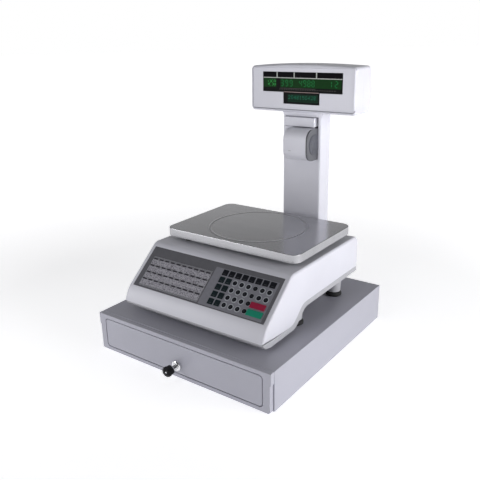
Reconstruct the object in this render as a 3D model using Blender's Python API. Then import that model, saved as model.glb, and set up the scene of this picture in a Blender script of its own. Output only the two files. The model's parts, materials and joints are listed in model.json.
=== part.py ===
"""Retail price scale on a cash drawer, with a display tower and a label printer.

A standalone Blender script in metres: +Z is up, the operator's side faces -Y and
+X is the operator's right. The origin is on the supporting surface, below the
middle of the object. Every sub-part is one object, and an object whose name
starts with "cutter_" or "join_" only shapes another one.
"""

import math

import bmesh
import bpy
from mathutils import Matrix, Vector

GAP = 0.0003  # clearance between two pieces that touch

# Cash drawer
DRAWER_HALF_WIDTH = 0.225
DRAWER_HALF_DEPTH = 0.2373
DRAWER_TOP = 0.0868
CASE_FLOOR = 0.0015  # underside of the steel case, which stands on the pads
SHEET = 0.0017
FRAME_DEPTH = 0.012
FRAME_STEP = (0.0025, 0.0625)  # how much narrower the frame is below this height
FRONT_OPENING = (0.207, 0.0100, 0.0778)  # half width, low z, high z
FRONT_MARGIN = 0.0015
FRONT_THICKNESS = 0.014
PAD_RADIUS = 0.012
PAD_SPOTS = [(-0.19, -0.20), (0.19, -0.20), (-0.19, 0.20), (0.19, 0.20)]

# Drawer tray, slides and till
TRAY_HALF_WIDTH = 0.2015
TRAY_REAR = 0.195
TRAY_LOW = 0.0137
TRAY_HIGH = 0.0735
TRAY_WALL = 0.0015
CHANNEL_HALF_HEIGHT = 0.0084
REAR_ROLLER_RADIUS = 0.006
REAR_ROLLER_SPOT = (0.185, 0.0435)  # y and z
FRONT_ROLLER_RADIUS = 0.0044
FRONT_ROLLER_SPOT = (-0.2165, 0.0090)
TILL_LOW = (-0.1985, -0.2125, 0.0155)
TILL_HIGH = (0.1985, 0.1765, 0.0680)
TILL_WALL = 0.003
BILL_BINS = 5
BILL_BIN_LENGTH = 0.178
COIN_BINS = 4
COIN_ROWS = 2
CLIP_HINGE_DROP = 0.005  # hinge below the till's rim
CLIP_LENGTH = 0.100
CLIP_WIDTH = 0.030

# Lock and key
LOCK_Z = 0.030
BARREL_RADIUS = 0.0095
PLUG_RADIUS = 0.0055
KEY_TILT = math.radians(45)
KEY_TIP = -0.2763  # the frontmost point of the object
KEY_BOW = (0.0110, 0.0235)  # half width and length

# Everything is drawn about the drawer's middle, then moved so that the origin is below
# the middle of the whole object
SHIFT = (0.0, -0.0056, 0.0)

# Weighing unit
BODY_HALF_WIDTH = 0.182
BODY_REAR = 0.1976
BODY_WALL = 0.003
SLOPE_TOP = (-0.0930, 0.2184)  # y and z where the keypad slope leaves the top
SLOPE_ANGLE = math.radians(40)
SLOPE_LENGTH = 0.1155
REAR_CORNER = 0.020
SHELL_LOW = (0.1090, 0.1420)  # low edge of the housing, front and rear
SHELL_STEP = (-0.098, -0.042)  # where that edge rises
CHASSIS_LOW = (0.0950, 0.1285)
CHASSIS_STEP = (-0.088, -0.032)
CHASSIS_FLOOR = 0.0025
FOOT_SPOTS = [(-0.157, -0.042), (0.157, -0.042), (-0.157, 0.131), (0.157, 0.131)]
FOOT_RADIUS = 0.018
FOOT_HEIGHT = 0.009

# Keypad: x from the middle, s down the slope from its top edge
PANEL = (-0.171, 0.171, 0.0125, 0.1135)
CARD = (-0.158, 0.0066, 0.0370, 0.1093)
CANCEL_KEY = (0.1255, 0.1600, 0.0765, 0.0890)
ENTER_KEY = (0.1255, 0.1610, 0.0925, 0.1055)
KEY_TRAVEL = 0.001

# Weighing platter and what carries it
PLATTER_HALF_WIDTH = 0.1735
PLATTER_Y = (-0.065, 0.177)
PLATTER_TOP = 0.2453
PLATTER_RIM = 0.0184
PLATTER_SHEET = 0.0012
PLATTER_CORNER = 0.020
CELL_Y = (-0.019, 0.131)
CELL_Z = (0.1447, 0.1827)
CELL_HALF_WIDTH = 0.019

# Rear sockets of the weighing unit
INLET_SPOT = (-0.130, 0.178)  # x and z
SWITCH_SPOT = (-0.088, 0.178)
SWITCH_TILT = math.radians(7)

# Tower: a column with a display head
TOWER_X = 0.0215
TOWER_WALL = 0.0025
TOWER_SPLIT = 0.2385
COLUMN_HALF_WIDTH = 0.0505
COLUMN_FRONT = 0.2075
COLUMN_REAR = 0.2565
COLUMN_BOTTOM = 0.118
HEAD_HALF_WIDTH = 0.1365
HEAD_FRONT = 0.2005
HEAD_Z = (0.4835, 0.5865)  # the top is given at the ends
HEAD_CROWN = 0.0045
HEAD_BULGE = (0.2875, 0.532, 0.0140, 0.0545)  # y and z of its crest, its rise, its half height
BEZEL_RIM = 0.0045
BEZEL_Z = (0.4895, 0.5830)
BEZEL_RECESS = 0.0015
WINDOW_HALF_WIDTH = 0.104
WINDOW_Z = (0.5290, 0.5735)
MESSAGE_HALF_WIDTH = 0.0473
MESSAGE_LOW = 0.5025
CUSTOMER_WINDOW_Z = (0.517, 0.566)

# Label printer in the column
COVER_X = (0.0010, 0.0600)
COVER_FRONT = 0.1585
COVER_Z = (0.3780, 0.4505)
COVER_CORNER = 0.024
COVER_WALL = 0.002
COVER_HINGE = (0.2055, 0.3790)
ROLL_SPOT = (0.1925, 0.41425)
ROLL_RADIUS = 0.0285
PLATEN_SPOT = (0.2165, 0.4460)
PLATEN_RADIUS = 0.005
PRINT_HEAD_LOW = (-0.0205, 0.1965, 0.4525)
PRINT_HEAD_HIGH = (0.0600, 0.2290, 0.4735)

PAINTS = {
    "steel_paint": ((0.47, 0.47, 0.50), 0.45, 0.0),
    "housing_plastic": ((0.66, 0.66, 0.69), 0.42, 0.0),
    "chassis_plastic": ((0.42, 0.42, 0.45), 0.55, 0.0),
    "keypad_film": ((0.12, 0.12, 0.13), 0.40, 0.0),
    "card": ((0.55, 0.55, 0.60), 0.50, 0.0),
    "red_key": ((0.42, 0.01, 0.05), 0.35, 0.0),
    "green_key": ((0.02, 0.38, 0.24), 0.35, 0.0),
    "black_plastic": ((0.02, 0.02, 0.022), 0.45, 0.0),
    "dark_plastic": ((0.10, 0.10, 0.11), 0.50, 0.0),
    "rubber": ((0.015, 0.015, 0.016), 0.80, 0.0),
    "chrome": ((0.75, 0.75, 0.77), 0.12, 1.0),
    "stainless": ((0.55, 0.55, 0.56), 0.30, 1.0),
    "zinc_steel": ((0.55, 0.56, 0.58), 0.40, 1.0),
    "aluminium": ((0.70, 0.71, 0.72), 0.35, 1.0),
    "display_lens": ((0.01, 0.012, 0.011), 0.10, 0.0),
    "circuit_board": ((0.02, 0.16, 0.07), 0.45, 0.0),
    "paper": ((0.85, 0.85, 0.83), 0.80, 0.0),
    "vial": ((0.55, 0.75, 0.25), 0.15, 0.0),
}


# Shapes


def clear_scene():
    for obj in list(bpy.data.objects):
        bpy.data.objects.remove(obj, do_unlink=True)


def make_material(name):
    colour, roughness, metallic = PAINTS[name]
    material = bpy.data.materials.new(name)
    material.use_nodes = True
    shader = material.node_tree.nodes["Principled BSDF"]
    shader.inputs["Base Color"].default_value = (*colour, 1)
    shader.inputs["Roughness"].default_value = roughness
    shader.inputs["Metallic"].default_value = metallic
    return material


def new_object(name, bm, paint):
    """An object from bm. With no paint it is a helper that only cuts or joins."""
    bmesh.ops.recalc_face_normals(bm, faces=bm.faces)
    mesh = bpy.data.meshes.new(name)
    bm.to_mesh(mesh)
    bm.free()
    obj = bpy.data.objects.new(name, mesh)
    bpy.context.collection.objects.link(obj)
    if paint:
        material = bpy.data.materials.get(paint) or make_material(paint)
        mesh.materials.append(material)
    else:
        obj.hide_render = True
        obj.display_type = "WIRE"
    return obj


def move_origin(obj, point):
    """Puts the object's origin on a point, such as a joint's axis, and keeps its shape in place."""
    obj.data.transform(Matrix.Translation(-Vector(point)))
    obj.location = point
    return obj


def spot(axis, along, flat):
    """The 3-D point at a place along an axis and a flat position across it."""
    u, v = flat
    return {"X": (along, u, v), "Y": (u, along, v), "Z": (u, v, along)}[axis]


def prism(name, outline, axis, start, end, paint=None):
    bm = bmesh.new()
    rings = [[bm.verts.new(spot(axis, along, p)) for p in outline] for along in (start, end)]
    bm.faces.new(rings[0])
    bm.faces.new(rings[1])
    count = len(outline)
    for i in range(count):
        j = (i + 1) % count
        bm.faces.new((rings[0][i], rings[0][j], rings[1][j], rings[1][i]))
    return new_object(name, bm, paint)


def add_box(bm, low, high):
    size = Vector(high) - Vector(low)
    middle = (Vector(high) + Vector(low)) / 2
    matrix = Matrix.Translation(middle) @ Matrix.Diagonal((*size, 1))
    bmesh.ops.create_cube(bm, size=1, matrix=matrix)


def box(name, low, high, paint=None):
    bm = bmesh.new()
    add_box(bm, low, high)
    return new_object(name, bm, paint)


def boxes(name, corners):
    """Several separate boxes in one helper."""
    bm = bmesh.new()
    for low, high in corners:
        add_box(bm, low, high)
    return new_object(name, bm, None)


def turned(name, profile, axis, centre, paint=None, steps=20):
    """Turns (radius, along) points about an axis, on which the profile ends or which it rings."""
    bm = bmesh.new()
    rings = []
    for radius, along in profile:
        if radius == 0:
            rings.append([bm.verts.new(spot(axis, along, centre))])
            continue
        angles = [2 * math.pi * i / steps for i in range(steps)]
        x, y = centre
        flats = [(x + radius * math.cos(a), y + radius * math.sin(a)) for a in angles]
        rings.append([bm.verts.new(spot(axis, along, flat)) for flat in flats])
    on_axis = profile[0][0] == 0
    pairs = list(zip(rings, rings[1:])) + ([] if on_axis else [(rings[-1], rings[0])])
    for first, second in pairs:
        for i in range(steps):
            j = (i + 1) % steps
            corners = [first[i % len(first)], first[j % len(first)]]
            corners += [second[j % len(second)], second[i % len(second)]]
            bm.faces.new(list(dict.fromkeys(corners)))
    obj = new_object(name, bm, paint)
    obj.data.shade_smooth()
    obj.data.set_sharp_from_angle(angle=math.radians(40))
    return obj


def cylinder(name, radius, axis, centre, start, end, paint=None, steps=20):
    profile = [(0, start), (radius, start), (radius, end), (0, end)]
    return turned(name, profile, axis, centre, paint, steps)


def ring(name, bore, radius, axis, centre, start, end, paint, steps=20):
    profile = [(bore, start), (radius, start), (radius, end), (bore, end)]
    return turned(name, profile, axis, centre, paint, steps)


def apply_boolean(obj, operation, helpers):
    for helper in helpers:
        modifier = obj.modifiers.new(f"{operation.lower()} {helper.name}", "BOOLEAN")
        modifier.operation = operation
        modifier.solver = "EXACT"
        modifier.object = helper
    return obj


def cut(obj, *helpers):
    return apply_boolean(obj, "DIFFERENCE", helpers)


def join(obj, *helpers):
    return apply_boolean(obj, "UNION", helpers)


def bevel(obj, width, segments=2, angle=40):
    """Rounds edges, and triangulates so that every face a Boolean meets is flat."""
    modifier = obj.modifiers.new("rounded edges", "BEVEL")
    modifier.width = width
    modifier.segments = segments
    modifier.limit_method = "ANGLE"
    modifier.angle_limit = math.radians(angle)
    obj.modifiers.new("flat faces", "TRIANGULATE")
    return obj


def bevel_only(obj, chosen):
    """Limits the object's bevel to the edges for which chosen(one end, other end) holds."""
    weights = obj.data.attributes.new("bevel_weight_edge", "FLOAT", "EDGE")
    for edge in obj.data.edges:
        ends = [obj.data.vertices[i].co for i in edge.vertices]
        weights.data[edge.index].value = float(chosen(*ends))
    obj.modifiers["rounded edges"].limit_method = "WEIGHT"


def corner_arc(centre, radius, start, end, steps):
    """Points on an arc, from one angle in degrees to another."""
    angles = [math.radians(start + (end - start) * i / steps) for i in range(steps + 1)]
    return [(centre[0] + radius * math.cos(a), centre[1] + radius * math.sin(a)) for a in angles]


def rounded_rectangle(low, high, radius, steps=4):
    corners = [
        ((high[0] - radius, high[1] - radius), 0),
        ((low[0] + radius, high[1] - radius), 90),
        ((low[0] + radius, low[1] + radius), 180),
        ((high[0] - radius, low[1] + radius), 270),
    ]
    return [p for centre, start in corners for p in corner_arc(centre, radius, start, start + 90, steps)]


# Cash drawer: the fixed case


def drawer_cover():
    half, rear = DRAWER_HALF_WIDTH, DRAWER_HALF_DEPTH
    front = -rear + FRAME_DEPTH + GAP
    cover = box("drawer_cover", (-half, front, CASE_FLOOR), (half, rear, DRAWER_TOP), "steel_paint")
    bevel(cover, 0.0012)
    inner = half - SHEET
    low = (-inner, front - 0.01, CASE_FLOOR - 0.01)
    cut(cover, box("cutter_cover_room", low, (inner, rear - SHEET, DRAWER_TOP - SHEET)))


def case_half_width():
    return DRAWER_HALF_WIDTH - SHEET - GAP


def drawer_case():
    half = case_half_width()
    front = -DRAWER_HALF_DEPTH + FRAME_DEPTH + GAP
    rear = DRAWER_HALF_DEPTH - SHEET - GAP
    high = DRAWER_TOP - SHEET - GAP
    case = box("drawer_case", (-half, front, CASE_FLOOR), (half, rear, high), "steel_paint")
    inner = half - SHEET
    low = (-inner, front - 0.01, CASE_FLOOR + SHEET)
    cut(case, box("cutter_case", low, (inner, rear - SHEET, high + 0.01)))
    y, z = FRONT_ROLLER_SPOT
    for side in (-1, 1):
        ear = [(side * 0.1975, y - 0.0035, CASE_FLOOR + 0.0005), (side * 0.2005, y + 0.0035, 0.0125)]
        low = [min(pair) for pair in zip(*ear)]
        high = [max(pair) for pair in zip(*ear)]
        ends = sorted((side * 0.1835, side * 0.1990))
        pin = cylinder(f"join_front_pin{side}", 0.0016, "X", (y, z), *ends, steps=8)
        join(case, box(f"join_front_ear{side}", low, high), pin)


def front_frame():
    inset, step = FRAME_STEP
    wide, narrow = DRAWER_HALF_WIDTH, DRAWER_HALF_WIDTH - inset
    right = [
        (narrow - 0.003, CASE_FLOOR),
        (narrow, CASE_FLOOR + 0.003),
        (narrow, step - inset),
        (wide, step),
        (wide, DRAWER_TOP),
    ]
    outline = right + [(-x, z) for x, z in reversed(right)]
    front = -DRAWER_HALF_DEPTH
    frame = prism("front_frame", outline, "Y", front, front + FRAME_DEPTH, "steel_paint")
    bevel(frame, 0.0010)
    half, low, high = FRONT_OPENING
    opening = rounded_rectangle((-half, low), (half, high), 0.008, 5)
    cut(frame, prism("cutter_front_opening", opening, "Y", front - 0.01, front + 0.03))


def slide_channels():
    outer = case_half_width() - SHEET - GAP
    y0, y1 = -DRAWER_HALF_DEPTH + FRAME_DEPTH + 0.003, 0.2300
    z = REAR_ROLLER_SPOT[1]
    high, low = CHANNEL_HALF_HEIGHT, CHANNEL_HALF_HEIGHT - 0.002
    for side, label in ((-1, "left"), (1, "right")):
        outline = [
            (side * outer, z - high),
            (side * outer, z + high),
            (side * 0.2030, z + high),
            (side * 0.2030, z + low),
            (side * (outer - 0.002), z + low),
            (side * (outer - 0.002), z - low),
            (side * 0.2030, z - low),
            (side * 0.2030, z - high),
        ]
        prism(f"slide_channel_{label}", outline, "Y", y0, y1, "zinc_steel")


def rollers():
    for side, label in ((-1, "left"), (1, "right")):
        ends = sorted((side * 0.2040, side * 0.2180))
        name, place = f"rear_roller_{label}", REAR_ROLLER_SPOT
        roller = ring(name, 0.0022, REAR_ROLLER_RADIUS, "X", place, *ends, "dark_plastic", 16)
        move_origin(roller, (side * 0.2110, *REAR_ROLLER_SPOT))
        ends = sorted((side * 0.1840, side * 0.1970))
        name, place = f"front_roller_{label}", FRONT_ROLLER_SPOT
        roller = ring(name, 0.0019, FRONT_ROLLER_RADIUS, "X", place, *ends, "dark_plastic", 16)
        move_origin(roller, (side * 0.1905, *FRONT_ROLLER_SPOT))


def base_pads():
    for i, centre in enumerate(PAD_SPOTS):
        high = CASE_FLOOR - GAP
        profile = [(0, 0), (PAD_RADIUS - 0.0008, 0), (PAD_RADIUS, 0.0008), (PAD_RADIUS, high), (0, high)]
        turned(f"base_pad_{i + 1}", profile, "Z", centre, "rubber", 16)


# Cash drawer: what slides


def lock_hole(name):
    front = -DRAWER_HALF_DEPTH
    return cylinder(name, BARREL_RADIUS + GAP, "Y", (0, LOCK_Z), front - 0.01, front + 0.025)


def drawer_front():
    half, low, high = FRONT_OPENING
    m = FRONT_MARGIN
    outline = rounded_rectangle((-half + m, low + m), (half - m, high - m), 0.0068, 4)
    front = -DRAWER_HALF_DEPTH
    panel = prism("drawer_front", outline, "Y", front, front + FRONT_THICKNESS, "steel_paint")
    bevel(panel, 0.0008, 1)
    cut(panel, lock_hole("cutter_front_lock"))


def drawer_tray():
    half, wall = TRAY_HALF_WIDTH, TRAY_WALL
    front = -DRAWER_HALF_DEPTH + FRONT_THICKNESS + GAP
    tray = box("drawer_tray", (-half, front, TRAY_LOW), (half, TRAY_REAR, TRAY_HIGH), "zinc_steel")
    low = (-half + wall, front + wall, TRAY_LOW + wall)
    cut(tray, box("cutter_tray", low, (half - wall, TRAY_REAR - wall, TRAY_HIGH + 0.01)))
    slot = box("cutter_cam_slot", (-0.0190, -0.2210, TRAY_LOW - 0.01), (0.0060, -0.2155, TRAY_LOW + 0.005))
    cut(tray, slot, lock_hole("cutter_tray_lock"))
    for side in (-1, 1):
        ends = sorted((side * (half - 0.0008), side * 0.2170))
        join(tray, cylinder(f"join_rear_pin{side}", 0.0019, "X", REAR_ROLLER_SPOT, *ends, steps=8))
    catch = box("join_catch", (-0.016, TRAY_REAR - 0.0007, 0.0330), (0.008, TRAY_REAR + 0.021, 0.0345))
    join(tray, catch)
    cut(tray, cylinder("cutter_catch", 0.0045, "Z", (-0.004, 0.210), 0.030, 0.038, steps=12))


def bill_bins():
    """The x range of each bill bin, left to right."""
    span = TILL_HIGH[0] - TILL_LOW[0] - TILL_WALL
    pitch = span / BILL_BINS
    first = TILL_LOW[0] + TILL_WALL
    return [(first + i * pitch, first + (i + 1) * pitch - TILL_WALL) for i in range(BILL_BINS)]


def till_insert():
    till = box("till_insert", TILL_LOW, TILL_HIGH, "black_plastic")
    floor, top = TILL_LOW[2] + 0.0025, TILL_HIGH[2] + 0.01
    bill_rear = TILL_HIGH[1] - TILL_WALL
    bill_front = bill_rear - BILL_BIN_LENGTH
    bins = [((x0, bill_front, floor), (x1, bill_rear, top)) for x0, x1 in bill_bins()]
    coin_rear = bill_front - TILL_WALL
    coin_front = TILL_LOW[1] + TILL_WALL
    width = (TILL_HIGH[0] - TILL_LOW[0] - TILL_WALL) / COIN_BINS
    depth = (coin_rear - coin_front + TILL_WALL) / COIN_ROWS
    for row in range(COIN_ROWS):
        for column in range(COIN_BINS):
            x0 = TILL_LOW[0] + TILL_WALL + column * width
            y0 = coin_front + row * depth
            bins.append(((x0, y0, floor), (x0 + width - TILL_WALL, y0 + depth - TILL_WALL, top)))
    cut(till, boxes("cutter_bins", bins))


def bill_clips():
    """Each clip hangs from a rod across its bin and lies on the bin's floor."""
    hinge = (TILL_HIGH[1] - TILL_WALL - 0.006, TILL_HIGH[2] - CLIP_HINGE_DROP)
    foot = (hinge[0] - CLIP_LENGTH * 0.90, TILL_LOW[2] + 0.0035)
    toe = (foot[0] - 0.014, foot[1] + 0.0030)
    for i, (x0, x1) in enumerate(bill_bins()):
        middle = (x0 + x1) / 2
        rod = (x0 + GAP, x1 - GAP)
        clip = cylinder(f"bill_clip_{i + 1}", 0.0028, "X", hinge, *rod, "dark_plastic", 10)
        arm = [
            (hinge[0], hinge[1] - 0.0015),
            foot,
            toe,
            (toe[0], toe[1] + 0.0018),
            (foot[0], foot[1] + 0.0018),
            (hinge[0], hinge[1] + 0.0012),
        ]
        ends = (middle - CLIP_WIDTH / 2, middle + CLIP_WIDTH / 2)
        join(clip, prism(f"join_clip_arm_{i + 1}", arm, "X", *ends))
        move_origin(clip, (middle, *hinge))


# Lock, key and latch


def lock_axis():
    """The empty on the lock's axis, which carries all that the key turns."""
    axis = bpy.data.objects.new("lock_axis", None)
    bpy.context.collection.objects.link(axis)
    axis.location = (0, -DRAWER_HALF_DEPTH, LOCK_Z)
    return axis


def lock_barrel():
    front = -DRAWER_HALF_DEPTH
    bore, body, flange = PLUG_RADIUS + GAP, BARREL_RADIUS, 0.0112
    lip, seat, rear = front - 0.0060, front - GAP, front + 0.0170
    profile = [(bore, lip), (flange - 0.001, lip), (flange, lip + 0.001), (flange, seat)]
    profile += [(body, seat), (body, rear), (bore, rear)]
    turned("lock_barrel", profile, "Y", (0, LOCK_Z), "chrome", 24)


def tilt_key(obj):
    """Turns a helper or piece of the key about the lock's axis by the key's angle."""
    centre = Vector((0, 0, LOCK_Z))
    turn = Matrix.Rotation(KEY_TILT, 4, "Y")
    obj.data.transform(Matrix.Translation(centre) @ turn @ Matrix.Translation(-centre))
    return obj


def ride_lock(obj, axis):
    """Parents a piece to the lock's empty, with its origin on the lock's axis."""
    move_origin(obj, axis.location)
    obj.location = (0, 0, 0)
    obj.parent = axis
    return obj


def lock_plug_and_key():
    axis = lock_axis()
    front = -DRAWER_HALF_DEPTH
    face = front - 0.0068
    plug = cylinder("lock_plug", PLUG_RADIUS, "Y", (0, LOCK_Z), face, front + 0.0175, "chrome", 20)
    ride_lock(plug, axis)
    low, high = (-0.0043, face - 0.01, LOCK_Z - 0.0014), (0.0043, front + 0.012, LOCK_Z + 0.0014)
    keyway = box("cutter_keyway", low, high)
    tilt_key(keyway)
    cut(plug, keyway)
    hub = front + 0.0178
    low, high = (-0.0230, hub, LOCK_Z - 0.0045), (0.0055, hub + 0.0020, LOCK_Z + 0.0045)
    cam = box("lock_cam", low, high, "zinc_steel")
    bevel(cam, 0.0015, 2, 60)
    ride_lock(cam, axis)
    half, length = KEY_BOW
    root = KEY_TIP + length
    low, high = (-0.0040, root + GAP, LOCK_Z - 0.0011), (0.0040, front + 0.0117, LOCK_Z + 0.0011)
    blade = box("key_blade", low, high, "chrome")
    tilt_key(blade)
    ride_lock(blade, axis)
    bow = rounded_rectangle((-half, KEY_TIP), (half, root), 0.0065, 3)
    head = prism("key_head", bow, "Z", LOCK_Z - 0.0032, LOCK_Z + 0.0032, "black_plastic")
    tilt_key(head)
    ride_lock(head, axis)


def latch_and_spring():
    solenoid = box("latch_solenoid", (-0.019, 0.2005, 0.0045), (0.011, 0.2325, 0.0300), "zinc_steel")
    centre = (-0.004, 0.210)
    cut(solenoid, cylinder("cutter_solenoid", 0.0038, "Z", centre, 0.0180, 0.0400, steps=16))
    plunger = cylinder("latch_plunger", 0.0034, "Z", centre, 0.0183, 0.0325, "chrome", 16)
    move_origin(plunger, (*centre, 0.0183))
    turns, steps = 7, 10
    y0, y1 = TRAY_REAR + 0.0015, 0.2325
    curve = bpy.data.curves.new("eject_spring", "CURVE")
    curve.dimensions = "3D"
    curve.bevel_depth = 0.0008
    curve.bevel_resolution = 1
    curve.use_fill_caps = True
    spline = curve.splines.new("POLY")
    spline.points.add(turns * steps)
    for i, point in enumerate(spline.points):
        angle = 2 * math.pi * i / steps
        y = y0 + (y1 - y0) * i / (turns * steps)
        point.co = (0.0070 * math.cos(angle), y, 0.0070 * math.sin(angle), 1)
    curve.materials.append(bpy.data.materials.get("zinc_steel") or make_material("zinc_steel"))
    spring = bpy.data.objects.new("eject_spring", curve)
    spring.location = (0.060, 0, 0.0350)
    bpy.context.collection.objects.link(spring)


# Weighing unit: chassis and housing


def slope_point(s, height):
    """(y, z) at a distance down the keypad slope and a height off it."""
    cos, sin = math.cos(SLOPE_ANGLE), math.sin(SLOPE_ANGLE)
    return SLOPE_TOP[0] - s * cos - height * sin, SLOPE_TOP[1] - s * sin + height * cos


def step_curve(step, low, count):
    """The S-shaped rise of a low edge from its front level to its rear level, front to rear."""
    points = []
    for i in range(count + 1):
        t = i / count
        rise = (1 - math.cos(math.pi * t)) / 2
        points.append((step[0] + t * (step[1] - step[0]), low[0] + rise * (low[1] - low[0])))
    return points


def crown(inset):
    """The housing's outline from its front lip over the nose, slope and top to its rear edge."""
    knee = slope_point(SLOPE_LENGTH, -inset)
    chin = [(-0.1990 + inset, 0.1130), (-0.1960 + inset, 0.1215), (-0.1895 + inset, 0.1340)]
    top = (SLOPE_TOP[0] - 0.004, SLOPE_TOP[1] - 0.0030 - inset)
    shoulder = (SLOPE_TOP[0] + 0.005, SLOPE_TOP[1] - inset)
    corner = (BODY_REAR - REAR_CORNER, 0.1966)
    arc = corner_arc(corner, REAR_CORNER - inset, 90, 0, 5)
    return [*chin, knee, top, shoulder, *arc]


def slope_prism(name, span, bottom, top, paint=None):
    """A plate on the slope, from its (x0, x1, s0, s1) span and its two heights."""
    x0, x1, s0, s1 = span
    outline = [slope_point(s0, bottom), slope_point(s1, bottom), slope_point(s1, top), slope_point(s0, top)]
    return prism(name, outline, "X", x0, x1, paint)


def grown(span, margin):
    x0, x1, s0, s1 = span
    return x0 - margin, x1 + margin, s0 - margin, s1 + margin


def stem_span(span):
    """Where a key's stem passes through the slope."""
    x0, x1, s0, s1 = span
    return (x0 + x1) / 2 - 0.006, (x0 + x1) / 2 + 0.006, (s0 + s1) / 2 - 0.003, (s0 + s1) / 2 + 0.003


def not_low(point):
    """Whether a point of the housing's outline is above its low edge."""
    return point.z > SHELL_LOW[1] + 0.001 or (point.y < SHELL_STEP[0] and point.z > SHELL_LOW[0] + 0.001)


def upper_housing():
    rise = reversed(step_curve(SHELL_STEP, SHELL_LOW, 8))
    low_edge = [(BODY_REAR, SHELL_LOW[1]), *rise, (-0.150, SHELL_LOW[0])]
    half = BODY_HALF_WIDTH
    housing = prism("upper_housing", crown(0) + low_edge, "X", -half, half, "housing_plastic")
    bevel_only(bevel(housing, 0.0080, 3), lambda a, b: a.x == b.x and (not_low(a) or not_low(b)))
    inner = crown(BODY_WALL)
    below = [(inner[-1][0], 0.09), (inner[0][0], 0.09)]
    cut(housing, prism("cutter_housing", inner + below, "X", -half + BODY_WALL, half - BODY_WALL))
    cut(housing, slope_prism("cutter_panel", grown(PANEL, GAP), -0.0005, 0.02))
    for label, span in (("cancel", CANCEL_KEY), ("enter", ENTER_KEY)):
        cut(housing, slope_prism(f"cutter_{label}_stem", grown(stem_span(span), 0.0005), -0.02, 0.02))
    centre = (0, sum(PLATTER_Y) / 2)
    cut(housing, cylinder("cutter_post_hole", 0.0215, "Z", centre, 0.20, 0.23, steps=24))
    y0, y1 = BODY_REAR - 0.01, BODY_REAR + 0.01
    x, z = INLET_SPOT
    cut(housing, box("cutter_inlet", (x - 0.014, y0, z - 0.010), (x + 0.014, y1, z + 0.010)))
    x, z = SWITCH_SPOT
    cut(housing, box("cutter_switch", (x - 0.0070, y0, z - 0.0115), (x + 0.0070, y1, z + 0.0115)))


def chassis_outline(lift, inset):
    """The chassis's low edge raised by lift, front to rear, between its end walls."""
    curve = [(y, z + lift) for y, z in step_curve(CHASSIS_STEP, CHASSIS_LOW, 8)]
    front = [
        (-0.1955 + inset, 0.1075 + lift),
        (-0.1880 + inset, 0.0995 + lift),
        (-0.1700, CHASSIS_LOW[0] + lift),
    ]
    return [*front, *curve, (BODY_REAR - 0.001 - inset, CHASSIS_LOW[1] + lift)]


def scale_chassis():
    half, wall = BODY_HALF_WIDTH - 0.0005, 0.003
    top_edge = [(y, z - 2 * GAP) for y, z in reversed(step_curve(SHELL_STEP, SHELL_LOW, 8))]
    lip = [(BODY_REAR - 0.001, SHELL_LOW[1] - 2 * GAP), *top_edge, (-0.150, SHELL_LOW[0] - 2 * GAP)]
    lip.append((-0.1955, 0.1125 - 3 * GAP))
    chassis = prism("scale_chassis", chassis_outline(0, 0) + lip, "X", -half, half, "chassis_plastic")
    bevel(chassis, 0.0030, 2, 60)
    inner = chassis_outline(CHASSIS_FLOOR, wall)
    room = inner + [(inner[-1][0], 0.16), (inner[0][0], 0.16)]
    cut(chassis, prism("cutter_chassis", room, "X", -half + wall, half - wall))
    low, high = (-CELL_HALF_WIDTH, 0.092, 0.1300), (CELL_HALF_WIDTH, 0.130, CELL_Z[0] - GAP)
    join(chassis, box("join_pedestal", low, high))
    foot_top = DRAWER_TOP + GAP + FOOT_HEIGHT + 0.0015
    for i, centre in enumerate(FOOT_SPOTS):
        floor = 0.1300 if centre[1] > 0 else 0.1240
        boss = [(0, foot_top), (0.0150, foot_top), (0.0168, floor), (0, floor)]
        join(chassis, turned(f"join_boss_{i}", boss, "Z", centre, steps=16))
        cut(chassis, cylinder(f"cutter_boss_{i}", 0.0045, "Z", centre, 0.08, floor - 0.006, steps=12))


def levelling_feet():
    low = DRAWER_TOP + GAP
    high = low + FOOT_HEIGHT
    for i, centre in enumerate(FOOT_SPOTS):
        stem_top = 0.1200 if centre[1] > 0 else 0.1140
        r = FOOT_RADIUS
        profile = [(0, low), (r - 0.0015, low), (r, low + 0.0015), (r, high - 0.002), (r - 0.002, high)]
        profile += [(0.0042, high), (0.0042, stem_top), (0, stem_top)]
        foot = turned(f"levelling_foot_{i + 1}", profile, "Z", centre, "rubber", 20)
        move_origin(foot, (*centre, low))


# Weighing unit: keypad


def keypad():
    film = (-0.0005 + GAP, GAP)
    overlay = slope_prism("keypad_overlay", PANEL, *film, "keypad_film")
    for label, span in (("card", CARD), ("cancel", CANCEL_KEY), ("enter", ENTER_KEY)):
        cut(overlay, slope_prism(f"cutter_film_{label}", grown(span, 0.0004), -0.01, 0.01))
    slope_prism("product_card", CARD, *film, "card")
    for name, span, paint in (("cancel_key", CANCEL_KEY, "red_key"), ("enter_key", ENTER_KEY, "green_key")):
        bottom = KEY_TRAVEL + 0.0001
        key = slope_prism(name, span, bottom, bottom + 0.0013, paint)
        join(key, slope_prism(f"join_{name}_stem", stem_span(span), -0.0052, bottom + 0.0005))
        middle = slope_point((span[2] + span[3]) / 2, bottom)
        move_origin(key, ((span[0] + span[1]) / 2, *middle))
    slope_prism("keypad_board", (-0.150, 0.165, 0.020, 0.108), -0.0082, -0.0066, "circuit_board")


# Weighing unit: load path and electrics


def load_cell():
    low, high = (-CELL_HALF_WIDTH, CELL_Y[0], CELL_Z[0]), (CELL_HALF_WIDTH, CELL_Y[1], CELL_Z[1])
    cell = box("load_cell", low, high, "aluminium")
    middle = (CELL_Z[0] + CELL_Z[1]) / 2
    for y in (0.042, 0.070):
        hole = cylinder(f"cutter_cell_{y}", 0.0125, "X", (y, middle), -0.05, 0.05, steps=16)
        cut(cell, hole)
    cut(cell, box("cutter_cell_slot", (-0.05, 0.042, middle - 0.004), (0.05, 0.070, middle + 0.004)))


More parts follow.
